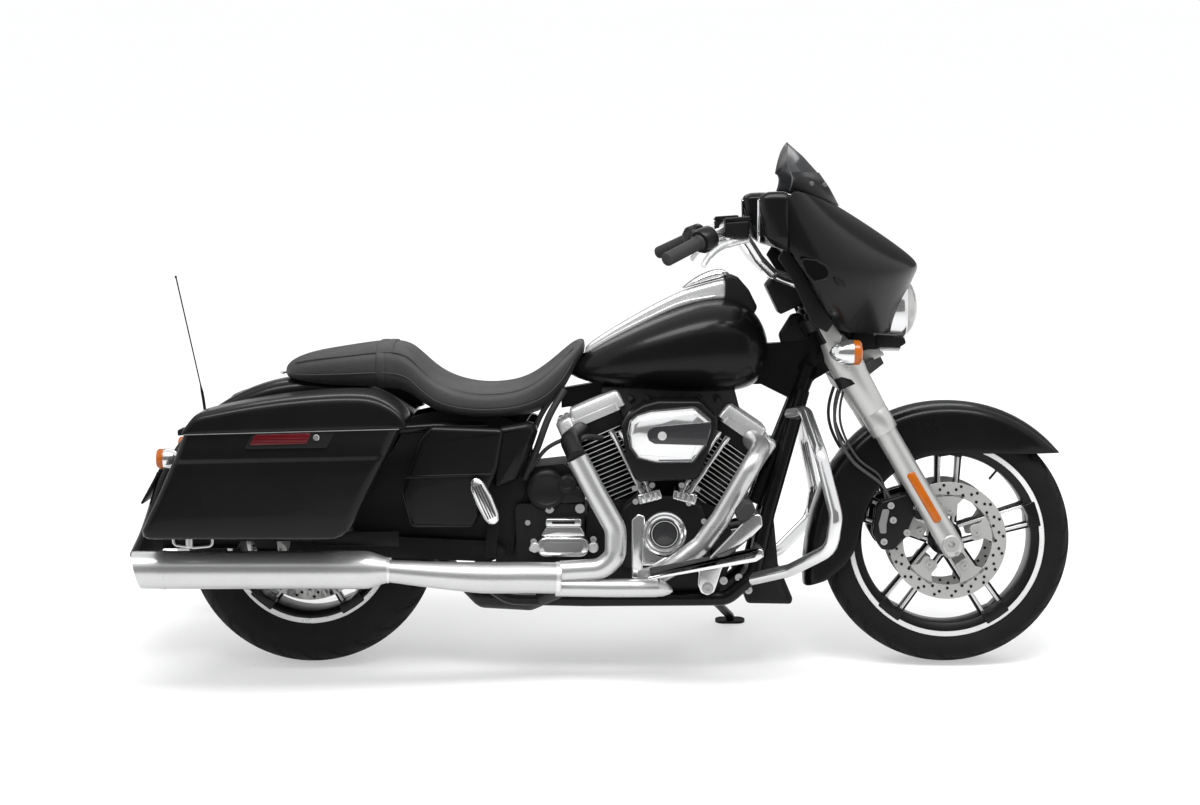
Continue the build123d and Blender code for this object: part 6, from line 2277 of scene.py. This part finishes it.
@dataclass(frozen=True)
class Saddlebag(Assembly):
    """A hard bag with a hinged lid, drawn on the right and mirrored to the left."""

    side: Side
    outer: float = 458.0
    seam_slope: float = 14.0 / 531.0
    seam_height: float = 631.0

    def plan(
        self, z: float, back: float, front: float, near: float, far: float, corner: float
    ) -> list[Vector]:
        """A rounded-box outline in the plan view, sloping with the seam towards its top.

        Args:
            z: Its height.
            back: Its rear edge's X.
            front: Its front edge's X.
            near: How far out its inner edge is.
            far: How far out its outer edge is.
            corner: Its corners' radius.
        Returns:
            The outline's points.
        """
        slope = self.seam_slope * min(1.0, (z - 367) / 257)
        outline = rounded([(back, near), (front, near), (front, far), (back, far)], corner, 5)
        return [Vector((x, -y, z + x * slope)) for x, y in outline]

    def seam(self, x: float) -> float:
        """The height of the seam between bag and lid at an X."""
        return self.seam_height + x * self.seam_slope

    def shown(self, form: Form) -> Form:
        """The form on this bag's side."""
        return form if self.side is Side.RIGHT else form.mirrored()

    def shell(self) -> Form:
        """The open bag: its outside, its rim and its inside.

        Returns:
            The bag on the right.
        """
        outside = [
            # z, back, front, near, far, corner
            (367, -350, 88, 256, 434, 20), (369, -358, 100, 250, 444, 22), (375, -366, 114, 244, 452, 24),
            (390, -368, 134, 241, 455, 24), (430, -350, 154, 240, 456, 24),
            (469, -331, 173, 240, 457.5, 24), (520, -309, 200, 240, 458, 24),
            (554, -295, 217, 240, 458, 24), (559, -293, 220, 240, 457, 24),
            (565, -290, 223, 240, 452.5, 24), (572, -287, 227, 240, 451.5, 24),
            (600, -276, 241, 240, 452, 24), (628, -265, 255, 240, 453, 24),
        ]
        inside = [
            (628, -260, 250, 245, 448, 20), (560, -287, 216, 245, 448, 20), (469, -326, 168, 245, 448, 20),
            (394, -358, 128, 246, 446, 20), (376, -346, 100, 252, 436, 20), (374, -300, 60, 280, 400, 20),
        ]
        return loft([self.plan(*row) for row in outside + inside])

    def lid(self) -> Form:
        """The lid's skin, open below; it narrows towards its top.

        Returns:
            The lid on the right.
        """
        outline = [
            (-270, 626), (-262, 640), (-246, 662), (-238, 670), (-222, 676), (-117, 699), (-7, 715),
            (90, 723), (168, 724), (206, 716), (250, 690), (270, 664), (274, 640)
        ]
        rows = (
            (240, 0.97, 0.94), (243, 1.0, 1.0), (300, 1.0, 1.0), (390, 1.0, 0.99), (428, 1.0, 0.965),
            (445, 0.998, 0.92), (455, 0.994, 0.82), (459, 0.988, 0.6), (461, 0.98, 0.3), (461, 0.976, 0.0)
        )
        rings = []
        for out, wide, tall in rows:
            ring = []
            for x, z in outline:
                seam = self.seam(x)
                ring.append(Vector((x * wide, -out, seam + (z - seam) * tall if z > seam else seam)))
            rings.append(ring)
        skin = loft(rings, around=False, capped=False)
        back = [Vector(point) for point in rings[0]]
        foot = [Vector((point.x, point.y, self.seam(point.x))) for point in back]
        return skin + loft([back, foot], around=False, capped=False)

    def build(self) -> None:
        """Makes the bag's pieces."""
        word = self.side.name.lower()
        name, lid = f"saddlebag_{word}", f"bag_lid_{word}"
        lid_body = Body.LID_RIGHT if self.side is Side.RIGHT else Body.LID_LEFT
        self.add(f"{name}_shell", self.shown(self.shell()), Finish.PAINT, name, smooth=50)
        self.add(
            f"{lid}_skin", self.shown(self.lid()), Finish.PAINT, lid, subdivide=2, wall=4.0, body=lid_body
        )
        line = [
            (x, -(self.outer + 1.2), self.seam_height - 1.4 + x * self.seam_slope)
            for x in (-262, -130, 0, 130, 256)
        ]
        latch = [(-117, 588), (-96, 627), (100, 633), (98, 622), (82, 591)]
        lens = [(-105, 597), (-89, 623), (45, 627), (33, 601)]
        lock = [(0, 7.5), (4, 7.5), (5, 6.5), (5, 3), (3.5, 2.6), (3.5, 0)]
        rail = [
            (-345, 324), (-345, 364), (240, 366), (240, 330), (60, 330), (60, 342), (-150, 342), (-160, 324)
        ]
        rails = panel(rail, 262, 272, 2) + panel(
            [(-284, 616), (-284, 630), (-262, 636), (-256, 618)], 340, 410, 3, 4
        )
        loop = [
            (-302, -380, 368), (-300, -380, 346), (-250, -380, 340), (-206, -380, 344), (-206, -380, 368)
        ]
        catch = tube(bent(loop, 14), 3.4, 12) + bar((-262, -380, 366), (-262, -380, 342), 9, 16)
        for part, form, finish, slot in (
            # the seam is a real joint, drawn as a thin grey tube whose grey is a painted highlight
            ("seam", tube(flowing(line), 1.1, 8), Finish.INLAY, name),
            ("latch_panel", panel(latch, 448, 457, 2.5, 5), Finish.MOULDING, name),
            ("reflector", panel(lens, 455, 459, 1.5, 4), Finish.RED, "rear_lamps"),
            ("lock", lathe(lock, (57, -456, 616), (0, -1, 0), 28), Finish.CHROME, name),
            ("rail", rails, Finish.SATIN, name),
            ("bracket", catch, Finish.STEEL, name),
        ):
            self.add(f"{name}_{part}", self.shown(form), finish, slot=slot)


# ---- chassis -----------------------------------------------------------------
@dataclass(frozen=True)
class Chassis(Assembly):
    """The frame, and the guard, boards, levers and pegs that it carries."""

    def guard(self) -> None:
        """The engine guard."""
        route = [
            (1225, -40, 640), (1258, -120, 652), (1283, -290, 560), (1318, -345, 410), (1306, -335, 330),
            (1215, -210, 262), (1120, -118, 225)
        ]
        self.pair("guard_loops", tube(bent(route, 60, 8), 16.5, 24), Finish.CHROME, "engine_guard")
        clamp = bar((1244, -30, 640), (1244, 30, 640), 20)
        self.add("guard_clamp", clamp, Finish.SATIN, slot="engine_guard")

    def boards(self) -> None:
        """Footboards with rubber tops."""
        board = [(856, 256), (856, 264), (1116, 314), (1128, 334), (1138, 330), (1140, 314), (1122, 302)]
        arm = [
            (972, 284), (1054, 302), (1040, 268), (1030, 236), (1022, 214), (1006, 205), (990, 212),
            (982, 232), (984, 262)
        ]
        bright = panel(board, 250, 352, 3, 3) + panel(arm, 246, 262, 3, 10)
        self.pair("board_pair", bright, Finish.CHROME, "footboards")
        pad = [(862, 264), (862, 274), (1114, 322), (1122, 338), (1130, 336), (1120, 314)]
        self.pair("board_rubbers", panel(pad, 254, 348, 3, 3), Finish.RUBBER, slot="footboards")
        post = bar((1006, -108, 224), (1006, -250, 224), 13)
        self.pair("board_posts", post, Finish.SATIN, slot="footboards")
        self.pair("board_bolts", bolt(1006, 262, 224, 11, 8), Finish.STEEL, slot="footboards")

    def levers(self) -> None:
        """The brake and shift levers with their pads."""
        lever = [
            (1014, 292), (1008, 304), (1058, 356), (1108, 410), (1136, 414), (1140, 384), (1108, 352),
            (1040, 296)
        ]
        self.pair("pedal_pair", panel(lever, 290, 304, 4, 10), Finish.CHROME, "foot_levers")
        pads = [(1078, 396), (1070, 418), (1092, 446), (1114, 446), (1122, 424), (1104, 400)]
        self.pair("pedal_pads", panel(pads, 264, 332, 6, 14), Finish.RUBBER, slot="foot_levers")
        pivot = bar((1024, -150, 300), (1024, -308, 300), 9)
        self.pair("pedal_pivots", pivot, Finish.SATIN, slot="foot_levers")

    def pegs(self) -> None:
        """The passenger's folding pegs."""
        foot, tip = Vector((478, -258, 384)), Vector((427, -258, 496))
        peg = tube(
            [foot.lerp(tip, t) for t in (0, 0.04, 0.16, 0.5, 0.84, 0.96, 1)], [7, 13, 20, 22.5, 19, 12, 6],
            24
        )
        self.pair("peg_pair", peg.squeezed(-258, 0.55), Finish.CHROME, "passenger_pegs")
        rib = tube([foot.lerp(tip, t) + Vector((0, -11.8, 0)) for t in (0.14, 0.5, 0.86)], 1.5, 8)
        ribs = gather(rib.moved(x, abs(x) * 0.12, x * 0.44) for x in (-9, -3, 3, 9))
        self.pair("peg_ribs", ribs, Finish.RUBBER, slot="passenger_pegs")
        mount = bar((472, -150, 380), (474, -262, 392), 12)
        mount += panel(
            [(450, 288), (450, 330), (460, 396), (488, 396), (480, 330), (478, 288)], 148, 160, 2, 6
        )
        self.pair("peg_mounts", mount, Finish.SATIN, slot="passenger_pegs")

    def front(self) -> None:
        """The chin scoop with its cooler, and the steering neck."""
        scoop = [
            (1112, 160), (1098, 205), (1128, 262), (1146, 384), (1180, 388), (1192, 262), (1230, 172),
            (1226, 158)
        ]
        self.add("chin_scoop", panel(scoop, -94, 94, 10, 14), Finish.MOULDING, "oil_cooler")
        fins = gather(
            panel([(1190, z), (1190, z + 3), (1200, z + 3), (1200, z)], -66, 66, 0.5)
            for z in range(210, 250, 8)
        )
        self.add("cooler_fins", fins, Finish.SATIN, slot="oil_cooler")
        necks = bar((1276, -14, 764), (1138, -34, 410), 22) + panel(
            [(1262, 690), (1290, 735), (1322, 850), (1300, 880), (1262, 830), (1236, 760)], 6, 24, 5, 14
        )
        hood = panel(
            [(1196, 842), (1228, 894), (1252, 898), (1296, 806), (1304, 744), (1272, 708), (1230, 728)],
            -20, 20, 8, 16
        )
        self.add("neck_hood", hood, Finish.MOULDING, slot="cradle")
        self.pair("neck_tubes", necks, Finish.PAINT, slot="cradle")

    def middle(self) -> None:
        """What shows between the engine and the tank, and the lower frame's bolts."""
        wiring = panel([(756, 596), (740, 712), (1080, 712), (1096, 650), (1010, 596)], -48, 60, 10, 12)
        wiring += gather(bar((x, -40, 700), (x + 22, -66, 676), 9, 12) for x in range(800, 1060, 44))
        self.add("tank_wiring", wiring, Finish.RUBBER, slot="backbone")
        manifold = bar((830, -20, 560), (980, -20, 560), 34) + panel(
            [(760, 400), (830, 600), (1000, 600), (1050, 420)], -46, 46, 8, 10
        )
        self.add("inlet_manifold", manifold, Finish.SATIN, slot="crankcase")
        spots = ((1052, 223), (1091, 231), (1080, 191), (1115, 199), (992, 178), (523, 178))
        bolts = gather(bolt(x, 122, z, 7.5, 6) for x, z in spots)
        self.pair("frame_bolts", bolts, Finish.STEEL, slot="cradle")
        self.shop.paint(Finish.SATIN, "rear_caliper", "swingarm", "rear_shocks")
        self.shop.paint(Finish.PAINT, "backbone", "cradle", "rear_subframe", "side_stand")

    def build(self) -> None:
        """Makes the chassis's pieces."""
        self.guard()
        self.boards()
        self.levers()
        self.pegs()
        self.front()
        self.middle()


# ---- studio ------------------------------------------------------------------
@dataclass(frozen=True)
class Studio:
    """A pale floor, soft light and a camera square to the machine's right side."""

    lens: float = 82.0
    camera_at: Point = (738.7, -7000.0, 1181.0)
    look_at: Point = (738.7, 0.0, 667.0)
    floor_radius: float = 60.0
    floor_glow: float = 0.42
    light_level: float = 1.08
    card_level: float = 0.16
    card_half: float = 12.0
    card_away: float = 10.0
    card_heights: Flat = (0.02, 8.5)

    def camera(self, shop: Workshop) -> None:
        """The camera, square to the upright machine, so it shows the parked one as upright.

        Args:
            shop: The workshop, which knows how the machine is parked.
        """
        data = bpy.data.cameras.new("camera")
        data.lens = self.lens
        data.sensor_width = 36.0
        data.clip_end = 200.0
        camera = linked("camera", data)
        place = shop.parked @ Vector(self.camera_at)
        aim = shop.parked @ Vector(self.look_at)
        camera.location = place
        camera.rotation_euler = (aim - place).to_track_quat("-Z", "Y").to_euler()
        bpy.context.scene.camera = camera

    def floor(self) -> None:
        """A wide pale floor that keeps the machine's shadow."""
        disc = lathe([(0, 0.0), (0, self.floor_radius)], (0, 0, 0), (0, 0, 1), 96)
        mesh = bpy.data.meshes.new("studio_floor")
        mesh.from_pydata(disc.points, [], disc.faces)
        work = bmesh.new()
        work.from_mesh(mesh)
        bmesh.ops.remove_doubles(work, verts=work.verts, dist=0.001)
        for face in work.faces:
            if face.normal.z < 0:
                face.normal_flip()
        work.to_mesh(mesh)
        work.free()
        board = Board("studio_floor")
        ray = board.node("ShaderNodeLightPath")
        seen, glossy, through = (
            ray.outputs[f"Is {kind} Ray"] for kind in ("Camera", "Glossy", "Transmission")
        )
        seen = board.math("MAXIMUM", board.math("MAXIMUM", seen, glossy), through)
        tone = board.blend(board.cloud(0.6), grey(0.91), grey(0.93))
        matt = board.node("ShaderNodeBsdfDiffuse", {"Color": tone})
        glow = board.node("ShaderNodeEmission", {"Color": grey(1.0), "Strength": 1.0})
        sockets = {0: seen * self.floor_glow, 1: matt.outputs[0], 2: glow.outputs[0]}
        mixed = board.node("ShaderNodeMixShader", sockets)
        board.node("ShaderNodeOutputMaterial", {"Surface": mixed.outputs[0]})
        mesh.materials.append(board.material)
        floor = linked("studio_floor", mesh)
        floor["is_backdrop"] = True

    def card(self) -> None:
        """A tall grey card behind the camera that only shiny surfaces see, so their sides read dark."""
        low, high = self.card_heights
        half, away = self.card_half, self.card_away
        board = Board("grey_card")
        glow = board.node("ShaderNodeEmission", {"Color": grey(1.0), "Strength": self.card_level})
        board.node("ShaderNodeOutputMaterial", {"Surface": glow.outputs[0]})
        for name, side in (("grey_card_front", -1), ("grey_card_back", 1)):
            mesh = bpy.data.meshes.new(name)
            y = side * away
            mesh.from_pydata(
                [(-half, y, low), (half, y, low), (half, y, high), (-half, y, high)], [], [(0, 1, 2, 3)]
            )
            mesh.materials.append(board.material)
            card = linked(name, mesh)
            card.visible_camera = card.visible_diffuse = False
            card.visible_shadow = card.visible_transmission = False
            card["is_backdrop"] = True

    def sky(self) -> None:
        """A white surround for the camera, and a plain softer one for the light."""
        world = bpy.data.worlds.new("studio")
        bpy.context.scene.world = world
        world.use_nodes = True
        sky = Tree(world.node_tree)
        ray = sky.node("ShaderNodeLightPath").outputs
        either = sky.math("MAXIMUM", ray["Is Camera Ray"], ray["Is Transmission Ray"])
        seen = sky.node("ShaderNodeBackground", {"Color": grey(1.0)})
        softer = {"Color": (0.99, 0.995, 1.0), "Strength": self.light_level}
        light = sky.node("ShaderNodeBackground", softer)
        mixed = sky.node("ShaderNodeMixShader", {0: either, 1: light.outputs[0], 2: seen.outputs[0]})
        sky.node("ShaderNodeOutputWorld", {"Surface": mixed.outputs[0]})

    def lamp(self, name: str, place: Point, aim: Point, size: Flat, power: float) -> None:
        """A soft rectangular lamp.

        Args:
            name: Its name.
            place: Where it stands, in metres.
            aim: Where it points.
            size: Its width and height.
            power: Its power in watts.
        """
        data = bpy.data.lights.new(name, "AREA")
        data.shape = "RECTANGLE"
        data.size, data.size_y = size
        data.energy = power
        lamp = linked(name, data)
        lamp.location = place
        lamp.rotation_euler = (Vector(aim) - Vector(place)).to_track_quat("-Z", "Y").to_euler()

    def build(self, shop: Workshop) -> None:
        """Makes the studio.

        Args:
            shop: The workshop.
        """
        self.camera(shop)
        self.floor()
        self.sky()
        self.card()
        self.lamp("overhead", (0, -1.4, 3.6), (0, 0, 0.5), (4.2, 1.0), 150.0)
        self.lamp("far_side", (0, 3.6, 3.0), (0, 0, 0.6), (4.0, 1.2), 40.0)
        bpy.context.scene.view_settings.view_transform = "Standard"


def corners() -> list[list[float]]:
    """The shown object's lowest and highest corners."""
    return [list(corner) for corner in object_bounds()]


def main() -> None:
    """Builds every piece in order."""
    logging.basicConfig(level=logging.INFO, format="%(message)s")
    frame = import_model()
    shop = Workshop(frame)
    Studio().build(shop)
    Wheel(
        shop, Body.FRONT_WHEEL, "front", x=WHEELBASE, width=130, seat=241, inner=216, hub_half=90,
        first_spoke=16.0, disc_outs=(78.0, -73.0),
    ).build()
    Wheel(
        shop, Body.REAR_WHEEL, "rear", x=0.0, width=180, seat=203, inner=182, hub_half=108,
        first_spoke=15.0, disc_outs=(94.0,),
    ).build()
    FrontEnd(shop, Body.FORK).build()
    for assembly in (Engine, Exhaust, Bodywork):
        assembly(shop, Body.FRAME).build()
    for side in Side:
        Saddlebag(shop, Body.FRAME, side).build()
    Chassis(shop, Body.FRAME).build()
    bpy.context.view_layer.update()
    LOG.info("%d pieces made", shop.count)


if __name__ == "__main__":
    main()
